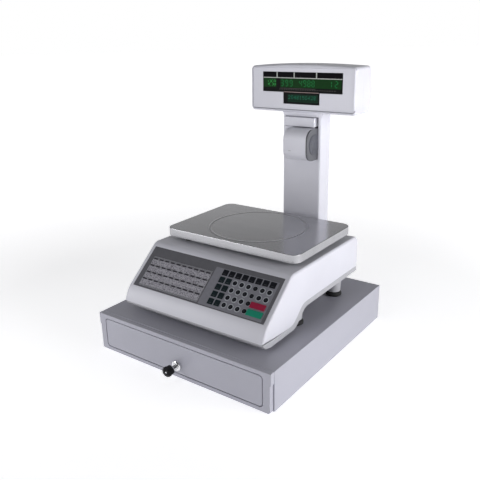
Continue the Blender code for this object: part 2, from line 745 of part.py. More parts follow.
def platter_spider():
    middle = sum(PLATTER_Y) / 2
    seat_top = 0.1885
    spider = cylinder("platter_spider", 0.018, "Z", (0, middle), seat_top - 0.002, 0.2330, "aluminium", 20)
    y, z = CELL_Y[0], CELL_Z[1]
    plate = box("join_spider_plate", (-0.018, y, z + 0.0018), (0.018, middle + 0.018, seat_top))
    seat = box("join_spider_seat", (-0.018, y, z + GAP), (0.018, y + 0.030, seat_top - 0.002))
    join(spider, plate, seat)
    reach = Vector((0.138, 0.090))
    for side in (-1, 1):
        arm = box(f"join_arm{side}", (-reach.length, -0.007, 0.2290), (reach.length, 0.007, 0.2380))
        turn = Matrix.Rotation(side * math.atan2(reach.y, reach.x), 4, "Z")
        arm.data.transform(Matrix.Translation((0, middle, 0)) @ turn)
        join(spider, arm)
    pad_top = PLATTER_TOP - PLATTER_SHEET - GAP
    for i, (sx, sy) in enumerate([(-1, -1), (1, -1), (-1, 1), (1, 1)]):
        centre = (sx * reach.x, middle + sy * reach.y)
        join(spider, cylinder(f"join_pad_{i}", 0.009, "Z", centre, 0.2300, pad_top, steps=12))


def weighing_platter():
    half, (y0, y1) = PLATTER_HALF_WIDTH, PLATTER_Y
    outline = rounded_rectangle((-half, y0), (half, y1), PLATTER_CORNER, 5)
    platter = prism("weighing_platter", outline, "Z", PLATTER_TOP - PLATTER_RIM, PLATTER_TOP, "stainless")
    t = PLATTER_SHEET
    inner = rounded_rectangle((-half + t, y0 + t), (half - t, y1 - t), PLATTER_CORNER - t, 5)
    cutter = prism("cutter_platter", inner, "Z", PLATTER_TOP - PLATTER_RIM - 0.01, PLATTER_TOP - t)
    bevel_only(bevel(platter, 0.0010), lambda a, b: min(a.z, b.z) > PLATTER_TOP - 1e-5)
    cut(platter, cutter)
    move_origin(platter, (0, (y0 + y1) / 2, PLATTER_TOP))


def electrics():
    box("main_board", (0.030, 0.000, 0.1370), (0.168, 0.150, 0.1386), "circuit_board")
    supply = box("power_supply", (-0.168, -0.010, 0.1315), (-0.075, 0.125, 0.1650), "zinc_steel")
    bevel(supply, 0.001, 1)
    level = [(0, 0.2187), (0.0085, 0.2187), (0.0085, 0.2222), (0.0070, 0.2230), (0, 0.2230)]
    turned("bubble_level", level, "Z", (-0.120, -0.045), "vial", 16)


def power_inlet_and_switch():
    x, z = INLET_SPOT
    rear = BODY_REAR
    low, high = (x - 0.0137, rear - 0.024, z - 0.0097), (x + 0.0137, rear + 0.001, z + 0.0097)
    inlet = box("power_inlet", low, high, "black_plastic")
    low, high = (x - 0.017, rear + GAP, z - 0.013), (x + 0.017, rear + 0.0018, z + 0.013)
    join(inlet, box("join_inlet_flange", low, high))
    low, high = (x - 0.0115, rear - 0.016, z - 0.0075), (x + 0.0115, rear + 0.01, z + 0.0075)
    cut(inlet, box("cutter_socket", low, high))
    x, z = SWITCH_SPOT
    pivot = (BODY_REAR - 0.004, z)
    face = [(0.0045, 0.0095), (0.0022, 0.0), (0.0045, -0.0095), (-0.0040, -0.0060), (-0.0040, 0.0060)]
    cos, sin = math.cos(-SWITCH_TILT), math.sin(-SWITCH_TILT)
    outline = [(pivot[0] + u * cos - v * sin, pivot[1] + u * sin + v * cos) for u, v in face]
    rocker = prism("power_switch", outline, "X", x - 0.0062, x + 0.0062, "black_plastic")
    move_origin(rocker, (x, *pivot))


# Tower


def tower_box(half, front, rear, low, high):
    return (TOWER_X - half, front, low), (TOWER_X + half, rear, high)


def crowned_outline(half, low, steps=12):
    """An outline in (x, z) whose top follows the head's crown."""
    outline = [(TOWER_X - half, low), (TOWER_X + half, low)]
    for i in range(steps + 1):
        x = half * (1 - 2 * i / steps)
        outline.append((TOWER_X + x, HEAD_Z[1] + HEAD_CROWN * (1 - (x / HEAD_HALF_WIDTH) ** 2)))
    return outline


def head_rear(z):
    """The y of the head's bulged customer side at a height."""
    y, crest, rise, half = HEAD_BULGE
    return y - rise * ((z - crest) / half) ** 2


def lens_outline(margin):
    """The T outline of the two operator displays, about the tower's centre line."""
    wide, narrow = WINDOW_HALF_WIDTH + margin, MESSAGE_HALF_WIDTH + margin
    low, step, high = MESSAGE_LOW - margin, WINDOW_Z[0] - margin, WINDOW_Z[1] + margin
    right = [(narrow, low), (narrow, step), (wide, step), (wide, high)]
    outline = right + [(-x, z) for x, z in reversed(right)]
    return [(TOWER_X + x, z) for x, z in outline]


def tower_front_shell():
    wall, split = TOWER_WALL, TOWER_SPLIT
    half, low = COLUMN_HALF_WIDTH, COLUMN_BOTTOM
    column = tower_box(half, COLUMN_FRONT, split + 0.01, low, HEAD_Z[0] + 0.03)
    shell = box("tower_front_shell", *column, "housing_plastic")
    bevel(shell, 0.0040, 2)
    outline = crowned_outline(HEAD_HALF_WIDTH, HEAD_Z[0])
    head = prism("join_head_front", outline, "Y", HEAD_FRONT, split + 0.02)
    bevel(head, 0.0065, 3)
    flare = [
        (TOWER_X - half - 0.007, HEAD_Z[0] + 0.004),
        (TOWER_X - half - 0.002, HEAD_Z[0] - 0.004),
        (TOWER_X - half + 0.001, HEAD_Z[0] - 0.011),
    ]
    flare += [(2 * TOWER_X - x, z) for x, z in reversed(flare)]
    join(shell, head, prism("join_flare", flare, "Y", COLUMN_FRONT + 0.0035, split + 0.005))
    cut(shell, box("cutter_front_split", *tower_box(0.3, split, split + 0.1, 0.0, 0.7)))
    room = tower_box(half - wall, COLUMN_FRONT + wall, split + 0.01, low + wall, HEAD_Z[0] + 0.02)
    column_room = box("cutter_column_room", *room)
    z0, z1 = HEAD_Z
    room = tower_box(HEAD_HALF_WIDTH - wall, HEAD_FRONT + 0.006, split + 0.01, z0 + wall, z1 - wall)
    cut(shell, join(column_room, box("cutter_head_room", *room)))
    span = (HEAD_HALF_WIDTH - BEZEL_RIM, HEAD_FRONT - 0.01, HEAD_FRONT + 0.02)
    cut(shell, box("cutter_bezel_opening", *tower_box(*span, *BEZEL_Z)))
    y0, y1 = COLUMN_FRONT - 0.01, COLUMN_FRONT + 0.01
    low_opening = box("cutter_roll_opening", (-0.0012, y0, COVER_Z[0] - 0.001), (0.0650, y1, 0.4600))
    high_opening = box("cutter_head_opening", (-0.0225, y0, 0.4500), (0.0650, y1, 0.4745))
    cut(shell, low_opening, high_opening)


def head_profile(inset, high, steps=10):
    """The rear head's outline in (y, z) up to a height, with its bulged side as an arc."""
    low = HEAD_Z[0] + inset
    bulge = [low + (high - low) * i / steps for i in range(steps + 1)]
    return [(head_rear(z) - inset, z) for z in bulge]


def tower_rear_shell():
    wall, split = TOWER_WALL, TOWER_SPLIT + GAP
    half, low = COLUMN_HALF_WIDTH, COLUMN_BOTTOM
    column = tower_box(half, split - 0.01, COLUMN_REAR, low, HEAD_Z[0] + 0.03)
    shell = box("tower_rear_shell", *column, "housing_plastic")
    bevel(shell, 0.0040, 2)
    z0, z1 = HEAD_Z
    top = z1 + HEAD_CROWN + 0.002
    outline = head_profile(0, top) + [(split - 0.02, top), (split - 0.02, z0)]
    outer, inner = HEAD_HALF_WIDTH, HEAD_HALF_WIDTH - wall
    head = prism("join_head_rear", outline, "X", TOWER_X - outer, TOWER_X + outer)
    crown_outline = crowned_outline(outer + 0.004, z0 - 0.004)
    apply_boolean(head, "INTERSECT", [prism("helper_head_crown", crown_outline, "Y", 0.20, 0.32)])
    bevel(head, 0.0050, 3, 50)
    join(shell, head)
    cut(shell, box("cutter_rear_split", *tower_box(0.3, split - 0.1, split, 0.0, 0.7)))
    room = tower_box(half - wall, split - 0.01, COLUMN_REAR - wall, low + wall, z0 + 0.02)
    column_room = box("cutter_rear_room", *room)
    outline = head_profile(wall, z1 - wall) + [(split - 0.02, z1 - wall), (split - 0.02, z0 + wall)]
    head_room = prism("cutter_rear_head", outline, "X", TOWER_X - inner, TOWER_X + inner)
    cut(shell, join(column_room, head_room))
    low_z, high_z = CUSTOMER_WINDOW_Z
    cut(shell, box("cutter_customer_window", *tower_box(WINDOW_HALF_WIDTH, 0.26, 0.31, low_z, high_z)))


def displays():
    y = HEAD_FRONT + BEZEL_RECESS
    rim = BEZEL_RIM + GAP
    plate = tower_box(HEAD_HALF_WIDTH - rim, y, y + 0.003, BEZEL_Z[0] + GAP, BEZEL_Z[1] - GAP)
    bezel = box("display_bezel", *plate, "housing_plastic")
    cut(bezel, prism("cutter_lens", lens_outline(GAP), "Y", y - 0.01, y + 0.02))
    prism("operator_lens", lens_outline(0), "Y", y + 0.0006, y + 0.0026, "display_lens")
    board = box("display_board", *tower_box(0.118, 0.2180, 0.2196, 0.4985, 0.5765), "circuit_board")
    tube = box("join_price_tube", *tower_box(0.100, 0.2100, 0.2185, 0.5310, 0.5715))
    message = box("join_message_tube", *tower_box(0.045, 0.2100, 0.2185, 0.5045, 0.5270))
    join(board, tube, message)
    low_z, high_z = CUSTOMER_WINDOW_Z[0] + GAP, CUSTOMER_WINDOW_Z[1] - GAP
    heights = [low_z + (high_z - low_z) * i / 6 for i in range(7)]
    outer = [(head_rear(z) - 0.0004, z) for z in heights]
    inner = [(y - 0.0020, z) for y, z in reversed(outer)]
    half = WINDOW_HALF_WIDTH - GAP
    prism("customer_lens", outer + inner, "X", TOWER_X - half, TOWER_X + half, "display_lens")


def tower_bracket():
    low, high = tower_box(0.030, BODY_REAR + GAP, COLUMN_FRONT - GAP, 0.1215, 0.1900)
    bevel(box("tower_bracket", low, high, "zinc_steel"), 0.001, 1)


# Label printer


def cover_outline(inset, rear):
    """The D-shaped side outline of the roll cover, in (y, z)."""
    low, high = COVER_Z[0] + inset, COVER_Z[1] - inset
    radius = COVER_CORNER - inset
    centre = COVER_FRONT + COVER_CORNER
    upper = corner_arc((centre, high - radius), radius, 90, 180, 7)
    lower = corner_arc((centre, low + radius), radius, 180, 270, 7)
    return [(rear, high), *upper, *lower, (rear, low)]


def printer_cover():
    rear = COLUMN_FRONT - GAP
    cover = prism("printer_cover", cover_outline(0, rear), "X", *COVER_X, "housing_plastic")
    room = cover_outline(COVER_WALL, rear + 0.01)
    cut(cover, prism("cutter_cover", room, "X", COVER_X[0] + COVER_WALL, COVER_X[1] + 0.01))
    move_origin(cover, ((COVER_X[0] + COVER_X[1]) / 2, *COVER_HINGE))


def printer_frame():
    side = COVER_X[1] + 0.0004
    frame = prism("printer_frame", cover_outline(0.0003, 0.2320), "X", side, side + 0.0036, "dark_plastic")
    back = box("join_printer_back", (-0.0200, 0.2300, 0.3820), (side + 0.002, 0.2325, 0.4500))
    left = box("join_printer_left", (-0.0008, 0.2110, 0.4380), (0.0008, 0.2310, 0.4500))
    spindle = cylinder("join_spindle", 0.0050, "X", ROLL_SPOT, 0.0120, side + 0.002, steps=16)
    join(frame, back, left, spindle)


def printer_rollers():
    roll = ring("paper_roll", 0.0062, ROLL_RADIUS, "X", ROLL_SPOT, 0.0042, 0.0598, "paper", 28)
    move_origin(roll, (0.0320, *ROLL_SPOT))
    platen = cylinder("platen_roller", PLATEN_RADIUS, "X", PLATEN_SPOT, 0.0012, 0.0598, "rubber", 16)
    move_origin(platen, (0.0305, *PLATEN_SPOT))


def print_head():
    head = box("print_head", PRINT_HEAD_LOW, PRINT_HEAD_HIGH, "housing_plastic")
    bevel(head, 0.0012, 2)


def centre_on_origin():
    for obj in bpy.data.objects:
        if obj.parent is None:
            obj.location += Vector(SHIFT)


def main():
    clear_scene()
    drawer_cover()
    drawer_case()
    front_frame()
    slide_channels()
    rollers()
    base_pads()
    drawer_front()
    drawer_tray()
    till_insert()
    bill_clips()
    lock_barrel()
    lock_plug_and_key()
    latch_and_spring()
    upper_housing()
    scale_chassis()
    levelling_feet()
    keypad()
    load_cell()
    platter_spider()
    weighing_platter()
    electrics()
    power_inlet_and_switch()
    tower_front_shell()
    tower_rear_shell()
    tower_bracket()
    displays()
    printer_cover()
    printer_frame()
    printer_rollers()
    print_head()
    centre_on_origin()


main()
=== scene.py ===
"""The looks of the retail price scale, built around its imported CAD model.

Every place is in metres in the model's own frame and is read from the model's
boxes. A flat detail is drawn on a face: u runs to the right and v up as someone
facing that face sees it, and w stands out of it.
"""

import json
import math

import bmesh
import bpy
from mathutils import Matrix, Vector

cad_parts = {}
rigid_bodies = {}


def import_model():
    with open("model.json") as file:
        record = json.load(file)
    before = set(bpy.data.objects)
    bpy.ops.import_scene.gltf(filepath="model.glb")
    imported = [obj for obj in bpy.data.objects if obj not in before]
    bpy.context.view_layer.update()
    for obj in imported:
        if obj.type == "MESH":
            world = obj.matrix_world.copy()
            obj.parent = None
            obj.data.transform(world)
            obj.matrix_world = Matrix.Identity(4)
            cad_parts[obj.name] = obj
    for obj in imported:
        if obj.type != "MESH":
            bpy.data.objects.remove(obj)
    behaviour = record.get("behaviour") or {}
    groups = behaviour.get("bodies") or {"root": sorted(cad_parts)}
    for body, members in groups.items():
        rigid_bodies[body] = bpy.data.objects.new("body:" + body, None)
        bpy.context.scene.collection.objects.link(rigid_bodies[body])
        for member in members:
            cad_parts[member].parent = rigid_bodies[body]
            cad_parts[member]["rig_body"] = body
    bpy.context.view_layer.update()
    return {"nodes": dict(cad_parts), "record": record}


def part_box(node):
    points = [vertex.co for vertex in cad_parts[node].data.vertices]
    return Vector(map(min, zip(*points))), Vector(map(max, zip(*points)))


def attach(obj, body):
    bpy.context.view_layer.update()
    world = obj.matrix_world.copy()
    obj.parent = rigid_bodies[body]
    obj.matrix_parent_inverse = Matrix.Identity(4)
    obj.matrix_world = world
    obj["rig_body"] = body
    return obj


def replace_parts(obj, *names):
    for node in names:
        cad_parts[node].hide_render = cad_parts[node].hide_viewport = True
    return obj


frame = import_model()

SLOPE_ANGLE = math.radians(40)
FILM = 0.0005  # thickness of the keypad's film
SKIN = 0.0001  # how far a printed mark stands off what it is printed on
FLOOR_FADE = (0.7, 1.5)  # where the floor's glow starts to rise, and where it stops
FLOOR_RADIUS = 25.0

FRONT = ((1, 0, 0), (0, 0, 1))
REAR = ((-1, 0, 0), (0, 0, 1))
TOP = ((1, 0, 0), (0, 1, 0))
RIGHT = ((0, 1, 0), (0, 0, 1))
LEFT = ((0, -1, 0), (0, 0, 1))
SLOPE = ((1, 0, 0), (0, math.cos(SLOPE_ANGLE), math.sin(SLOPE_ANGLE)))


# Materials


class Paint:
    """A procedural material.

    Soft patches vary the colour, and a fine grain the gloss and the bump.
    """

    def __init__(self, name, colour, roughness, metallic=0.0):
        self.material = bpy.data.materials.new(name)
        self.material.use_nodes = True
        self.tree = self.material.node_tree
        self.shader = self.tree.nodes["Principled BSDF"]
        self.colour = colour
        self.roughness = roughness
        self.shader.inputs["Metallic"].default_value = metallic
        self.place = self.tree.nodes.new("ShaderNodeTexCoord").outputs["Object"]

    def link(self, output, node_input):
        self.tree.links.new(output, node_input)

    def stretched(self, scale):
        mapping = self.tree.nodes.new("ShaderNodeMapping")
        mapping.inputs["Scale"].default_value = scale
        self.link(self.place, mapping.inputs["Vector"])
        return mapping.outputs["Vector"]

    def noise(self, scale, stretch=(1, 1, 1), detail=3.0):
        node = self.tree.nodes.new("ShaderNodeTexNoise")
        node.inputs["Scale"].default_value = scale
        node.inputs["Detail"].default_value = detail
        self.link(self.stretched(stretch), node.inputs["Vector"])
        return node.outputs["Fac"]

    def spread(self, value, low, high, start=0.3, end=0.7):
        node = self.tree.nodes.new("ShaderNodeMapRange")
        node.inputs["From Min"].default_value = start
        node.inputs["From Max"].default_value = end
        node.inputs["To Min"].default_value = low
        node.inputs["To Max"].default_value = high
        self.link(value, node.inputs["Value"])
        return node.outputs["Result"]

    def mix(self, factor, first, second):
        node = self.tree.nodes.new("ShaderNodeMix")
        node.data_type = "RGBA"
        self.link(factor, node.inputs["Factor"])
        for key, value in (("A", first), ("B", second)):
            socket = next(s for s in node.inputs if s.name == key and s.type == "RGBA")
            if isinstance(value, bpy.types.NodeSocket):
                self.link(value, socket)
            else:
                socket.default_value = (*value, 1)
        return next(s for s in node.outputs if s.type == "RGBA")

    def patches(self, tint, scale, stretch=(1, 1, 1)):
        dark = tuple(c * (1 - tint) for c in self.colour)
        light = tuple(min(1, c * (1 + tint)) for c in self.colour)
        factor = self.spread(self.noise(scale, stretch), 0, 1)
        self.base = self.mix(factor, dark, light)
        self.link(self.base, self.shader.inputs["Base Color"])
        return self

    def flecks(self, colour, scale, start, end, stretch=(1, 1, 1)):
        """Small marks of another colour over the patches, such as dust, print or speckle."""
        factor = self.spread(self.noise(scale, stretch, 1.0), 0, 1, start, end)
        self.base = self.mix(factor, self.base, colour)
        self.link(self.base, self.shader.inputs["Base Color"])
        return self

    def grain(self, scale, strength, gloss=0.06, depth=0.0002, stretch=(1, 1, 1)):
        value = self.noise(scale, stretch, 2.0)
        self.link(self.spread(value, self.roughness - gloss, self.roughness + gloss),
                  self.shader.inputs["Roughness"])
        bump = self.tree.nodes.new("ShaderNodeBump")
        bump.inputs["Strength"].default_value = strength
        bump.inputs["Distance"].default_value = depth
        self.link(value, bump.inputs["Height"])
        self.link(bump.outputs["Normal"], self.shader.inputs["Normal"])
        return self

    def glow_by_distance(self, near, far):
        """A glow that rises with the distance from the object's origin."""
        self.link(self.base, self.shader.inputs["Emission Color"])
        distance = self.tree.nodes.new("ShaderNodeVectorMath")
        distance.operation = "LENGTH"
        self.link(self.place, distance.inputs[0])
        strength = self.spread(distance.outputs["Value"], near, far, *FLOOR_FADE)
        self.link(strength, self.shader.inputs["Emission Strength"])
        return self

    def shine(self, level):
        """How strongly the surface mirrors what is around it. A usual plastic is 0.5."""
        self.shader.inputs["Specular IOR Level"].default_value = level
        return self

    def glow(self, strength):
        self.link(self.base, self.shader.inputs["Emission Color"])
        self.shader.inputs["Emission Strength"].default_value = strength
        return self


def moulded(name, colour, roughness=0.42, tint=0.03):
    return Paint(name, colour, roughness).patches(tint, 9).grain(1400, 0.10)


def coated(name, colour, roughness=0.40):
    """Powder-coated steel, with a faint orange peel."""
    return Paint(name, colour, roughness).patches(0.04, 6).grain(520, 0.12, 0.05, 0.0003)


def brushed(name, colour, roughness, stretch, bump=0.08):
    """Metal with fine lines along the axis whose stretch is small."""
    paint = Paint(name, colour, roughness, 1.0)
    return paint.patches(0.04, 60, stretch).grain(900, bump, 0.03, 0.0001, stretch)


def plain_metal(name, colour, roughness):
    return Paint(name, colour, roughness, 1.0).patches(0.06, 40).grain(700, 0.05, 0.05, 0.0001)


def elastic(name, colour, roughness=0.75):
    return Paint(name, colour, roughness).patches(0.15, 60).grain(2200, 0.2, 0.08)


def printed(name, colour, roughness=0.45):
    return Paint(name, colour, roughness).patches(0.05, 120).grain(1800, 0.03, 0.04, 0.00005)


def lit(name, colour, strength):
    """A glowing segment, a little uneven, as in a fluorescent display."""
    paint = Paint(name, colour, 0.35).patches(0.18, 240).grain(1500, 0.02, 0.04, 0.00005)
    return paint.glow(strength).shine(0.1)


HOUSING = moulded("housing plastic", (0.62, 0.62, 0.685), 0.40)
CHASSIS = moulded("chassis plastic", (0.40, 0.40, 0.43), 0.52)
# a darker plastic for the tube that paints the shade of the groove round the head
GROOVE_SHADE_PLASTIC = moulded("painted groove shade plastic", (0.27, 0.27, 0.31), 0.52)
STEEL_PAINT = coated("drawer paint", (0.385, 0.385, 0.445), 0.40)
PLATTER_STEEL = brushed("platter steel", (0.44, 0.44, 0.46), 0.22, (0.04, 1, 1), 0.005)
EMBOSS_STEEL = brushed("embossed steel", (0.40, 0.40, 0.42), 0.30, (0.04, 1, 1), 0.003)
ZINC = plain_metal("zinc plate", (0.58, 0.59, 0.61), 0.38)
ALUMINIUM = brushed("machined aluminium", (0.68, 0.69, 0.70), 0.34, (1, 0.05, 1))
CHROME = plain_metal("chrome", (0.78, 0.78, 0.80), 0.14)
BRASS = plain_metal("brass contact", (0.70, 0.52, 0.22), 0.28)
COPPER = plain_metal("copper wire", (0.72, 0.36, 0.20), 0.35)
BLACK_PLASTIC = moulded("black plastic", (0.010, 0.010, 0.012), 0.45, 0.15).shine(0.3)
DARK_PLASTIC = moulded("dark plastic", (0.085, 0.087, 0.10), 0.48, 0.10)
HUB_PLASTIC = moulded("hub plastic", (0.055, 0.058, 0.075), 0.42, 0.12)
RUBBER = elastic("rubber", (0.014, 0.014, 0.015))
FILM_PAINT = printed("keypad film", (0.105, 0.105, 0.120), 0.42)
FILM_LIGHT = printed("keypad film, key field", (0.19, 0.19, 0.22), 0.42)
CARD_PAINT = printed("product card", (0.20, 0.20, 0.22), 0.5)
CELL_PAINT = printed("product cell", (0.37, 0.365, 0.41), 0.48)
CELL_PAINT.flecks((0.13, 0.12, 0.145), 620, 0.50, 0.60, (1, 0.6, 0.6))
CELL_TAG = printed("price tag strip", (0.020, 0.018, 0.028), 0.45)
KEY_BLACK = printed("black key", (0.005, 0.006, 0.010), 0.36).shine(0.2)
KEY_GREENISH = printed("greenish black key", (0.005, 0.013, 0.016), 0.36).shine(0.2)
KEY_RING = printed("key ring", (0.40, 0.42, 0.46), 0.4)
RED_KEY = printed("red key", (0.28, 0.012, 0.045), 0.36).shine(0.25)
GREEN_KEY = printed("green key", (0.010, 0.23, 0.145), 0.36).shine(0.25)
INK = printed("white ink", (0.085, 0.09, 0.10), 0.5)
DARK_INK = printed("grey ink", (0.055, 0.05, 0.045), 0.5)
LENS = Paint("display filter", (0.006, 0.007, 0.007), 0.20).patches(0.2, 20)
LENS.grain(300, 0.01, 0.05, 0.00005).shine(0.06)
HEADER = printed("display header", (0.003, 0.0025, 0.004), 0.4).shine(0.04)
PALE_LINE = printed("display rule", (0.40, 0.42, 0.40), 0.45)
PINK_LINE = printed("display seam", (0.30, 0.22, 0.21), 0.45)
BAND = lit("display glow", (0.0005, 0.020, 0.002), 0.5)
DIGIT = lit("display digit", (0.006, 0.105, 0.028), 0.75)
DIGIT_PALE = lit("display digit, pale", (0.018, 0.17, 0.035), 0.75)
MESSAGE_BAND = lit("message glow", (0.001, 0.013, 0.006), 0.4)
MESSAGE_DOT = lit("message dot", (0.008, 0.09, 0.050), 0.8)
BOARD = Paint("circuit board", (0.012, 0.11, 0.045), 0.42).patches(0.12, 60)
BOARD.flecks((0.03, 0.20, 0.085), 420, 0.52, 0.54, (1, 0.15, 1)).grain(900, 0.08)
CHIP = moulded("chip package", (0.022, 0.022, 0.024), 0.5, 0.2)
TIN = plain_metal("tinned pins", (0.70, 0.70, 0.68), 0.3)
PAPER = Paint("label paper", (0.82, 0.82, 0.79), 0.7).patches(0.03, 90).grain(1600, 0.15)
CORE = Paint("cardboard core", (0.42, 0.30, 0.18), 0.8).patches(0.1, 120).grain(900, 0.25)
VIAL = Paint("level vial", (0.42, 0.62, 0.10), 0.12).patches(0.08, 60)
VIAL.grain(400, 0.02, 0.04, 0.00005)
FLOOR_PAINT = Paint("studio floor", (0.86, 0.86, 0.87), 0.75)
FLOOR_PAINT.patches(0.006, 1.2).grain(40, 0.01)
FLOOR_PAINT.glow_by_distance(0.68, 1.05)

SLOTS = {
    "steel_paint": STEEL_PAINT,
    "housing_plastic": HOUSING,
    "chassis_plastic": CHASSIS,
    "keypad_film": FILM_PAINT,
    "card": CARD_PAINT,
    "red_key": RED_KEY,
    "green_key": GREEN_KEY,
    "black_plastic": BLACK_PLASTIC,
    "dark_plastic": DARK_PLASTIC,
    "rubber": RUBBER,
    "chrome": CHROME,
    "stainless": PLATTER_STEEL,
    "zinc_steel": ZINC,
    "aluminium": ALUMINIUM,
    "display_lens": LENS,
    "circuit_board": BOARD,
    "paper": PAPER,
    "vial": VIAL,
}
NODE_SLOT = {entry["node"]: entry["material_slot"] for entry in frame["record"]["subparts"]}


# Shapes


def face(origin, directions):
    """The matrix from a face's (u, v, w) to the model's frame."""
    right, up = (Vector(d).normalized() for d in directions)
    matrix = Matrix((right, up, right.cross(up))).transposed().to_4x4()
    matrix.translation = origin
    return matrix


def middle(node):
    low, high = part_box(node)
    return (low + high) / 2


def circle(u, v, radius, steps=24):
    angles = [2 * math.pi * i / steps for i in range(steps)]
    return [(u + radius * math.cos(a), v + radius * math.sin(a)) for a in angles]


def rounded(u0, v0, u1, v1, radius, steps=3):
    """A rectangle's outline with rounded corners."""
    points = []
    left, right, foot, top = u0 + radius, u1 - radius, v0 + radius, v1 - radius
    corners = [(right, top), (left, top), (left, foot), (right, foot)]
    for quarter, (u, v) in enumerate(corners):
        for i in range(steps + 1):
            angle = math.pi / 2 * (quarter + i / steps)
            points.append((u + radius * math.cos(angle), v + radius * math.sin(angle)))
    return points


def oblong(u0, v0, u1, v1):
    return [(u0, v0), (u1, v0), (u1, v1), (u0, v1)]


def ring_of(bm, place, outline, w):
    return [bm.verts.new(place @ Vector((u, v, w))) for u, v in outline]


def slab(bm, place, outline, low, high, holes=()):
    """A plate on a face from its outline, its two heights and any holes."""
    loops = []
    for w in (low, high):
        level = [ring_of(bm, place, loop, w) for loop in (outline, *holes)]
        loops.append(level)
        if holes:
            ends = [(ring[i - 1], ring[i]) for ring in level for i in range(len(ring))]
            edges = [bm.edges.new(pair) for pair in ends]
            bmesh.ops.triangle_fill(bm, use_beauty=True, edges=edges)
        else:
            bm.faces.new(level[0])
    for lower, upper in zip(*loops):
        for i in range(len(lower)):
            bm.faces.new((lower[i - 1], lower[i], upper[i], upper[i - 1]))


def lathe(bm, place, profile, steps=32):
    """Turns (radius, w) points about a face's w axis.

    The profile ends on the axis at both ends, or it closes on itself.
    """
    rings = []
    for radius, w in profile:
        if radius == 0:
            rings.append(ring_of(bm, place, [(0, 0)], w))
        else:
            rings.append(ring_of(bm, place, circle(0, 0, radius, steps), w))
    pairs = list(zip(rings, rings[1:]))
    if profile[0][0]:
        pairs.append((rings[-1], rings[0]))
    for first, second in pairs:
        for i in range(steps):
            j = (i + 1) % steps
            corners = [first[i % len(first)], first[j % len(first)]]
            corners += [second[j % len(second)], second[i % len(second)]]
            bm.faces.new(list(dict.fromkeys(corners)))


def tube(bm, points, radius, steps=8):
    """A round wire through 3-D points."""
    points = [Vector(p) for p in points]
    side = None
    rings = []
    section = circle(0, 0, radius, steps)
    for i, point in enumerate(points):
        ahead = points[min(i + 1, len(points) - 1)] - points[max(i - 1, 0)]
        ahead.normalize()
        side = (side or ahead.orthogonal()) - (side or ahead.orthogonal()).project(ahead)
        side.normalize()
        other = ahead.cross(side)
        rings.append([bm.verts.new(point + side * u + other * v) for u, v in section])
    for first, second in zip(rings, rings[1:]):
        for i in range(steps):
            bm.faces.new((first[i - 1], first[i], second[i], second[i - 1]))
    bm.faces.new(rings[0])
    bm.faces.new(rings[-1])


def finish_piece(obj, paint, body, width, segments, sharp):
    obj.data.materials.clear()
    obj.data.materials.append(paint.material)
    obj.data.shade_smooth()
    obj.data.set_sharp_from_angle(angle=math.radians(sharp))
    if width:
        bevel = obj.modifiers.new("soft edges", "BEVEL")
        bevel.width = width
        bevel.segments = segments
        bevel.limit_method = "ANGLE"
        bevel.angle_limit = math.radians(sharp)
        obj.modifiers.new("even shading", "WEIGHTED_NORMAL").keep_sharp = True
    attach(obj, body)
    return obj


def piece(name, bm, paint, body="base", width=0.0, segments=2, sharp=35, slot=None):
    """An object made from bm, which moves with a body."""
    bmesh.ops.recalc_face_normals(bm, faces=bm.faces)
    mesh = bpy.data.meshes.new(name)
    bm.to_mesh(mesh)
    bm.free()
    obj = bpy.data.objects.new(name, mesh)
    bpy.context.scene.collection.objects.link(obj)
    return finish_piece(obj, paint, body, width, segments, sharp)


def body_of(node):
    return frame["nodes"][node]["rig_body"]


def wheel_size(node):
    """The radius and half the width of a wheel that turns about x."""
    low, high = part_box(node)
    return (high.z - low.z) / 2, (high.x - low.x) / 2


def softened(node, width=0.0006, paint=None, segments=2, sharp=35):
    """A piece with a CAD node's shape, its flat faces joined up and its edges softened."""
    bm = bmesh.new()
    bm.from_mesh(frame["nodes"][node].data)
    bmesh.ops.remove_doubles(bm, verts=bm.verts, dist=1e-6)
    flat = math.radians(0.5)
    bmesh.ops.dissolve_limit(bm, angle_limit=flat, verts=bm.verts, edges=bm.edges)
    slot = NODE_SLOT[node]
    look = (paint or SLOTS[slot], body_of(node), width, segments, sharp, slot)
    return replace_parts(piece(f"{node}_finish", bm, *look), node)


def stands_for(obj, *nodes):
    """obj replaces these CAD nodes, which it hides."""
    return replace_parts(obj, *nodes)


SEGMENTS = {
    "0": "abcdef",
    "1": "bc",
    "2": "abged",
    "3": "abgcd",
    "4": "fgbc",
    "5": "afgcd",
    "6": "afgedc",
    "7": "abc",
    "8": "abcdefg",
    "9": "abcdfg",
}


def digit(bm, place, character, u, v, width, height, stroke, low, high):
    """A seven-segment digit with its lower left corner at u, v."""
    half, gap, tip = height / 2, stroke * 0.6, stroke / 2
    across = (u + gap, u + width - gap)
    upper = (v + half + gap, v + height - gap)
    lower = (v + gap, v + half - gap)
    bars = {
        "a": (*across, v + height, "flat"),
        "g": (*across, v + half, "flat"),
        "d": (*across, v, "flat"),
        "b": (*upper, u + width, "tall"),
        "c": (*lower, u + width, "tall"),
        "f": (*upper, u, "tall"),
        "e": (*lower, u, "tall"),
    }
    for key in SEGMENTS[character]:
        start, end, across_at, lie = bars[key]
        near, far = start + tip, end - tip
        bar = [(start, 0), (near, tip), (far, tip), (end, 0), (far, -tip), (near, -tip)]
        if lie == "flat":
            outline = [(along, across_at + off) for along, off in bar]
        else:
            outline = [(across_at + off, along) for along, off in bar]
        slab(bm, place, outline, low, high)


def screw(bm, place, u, v, radius, height=0.0012, low=0.0):
    """A pan head with a round recess."""
    spot = place @ Matrix.Translation((u, v, low))
    profile = [
        (0, height * 0.3),
        (radius * 0.30, height * 0.3),
        (radius * 0.40, height),
        (radius * 0.70, height * 0.92),
        (radius * 0.94, height * 0.55),
        (radius, 0),
        (0, 0),
    ]
    lathe(bm, spot, profile, 20)


# Cash drawer


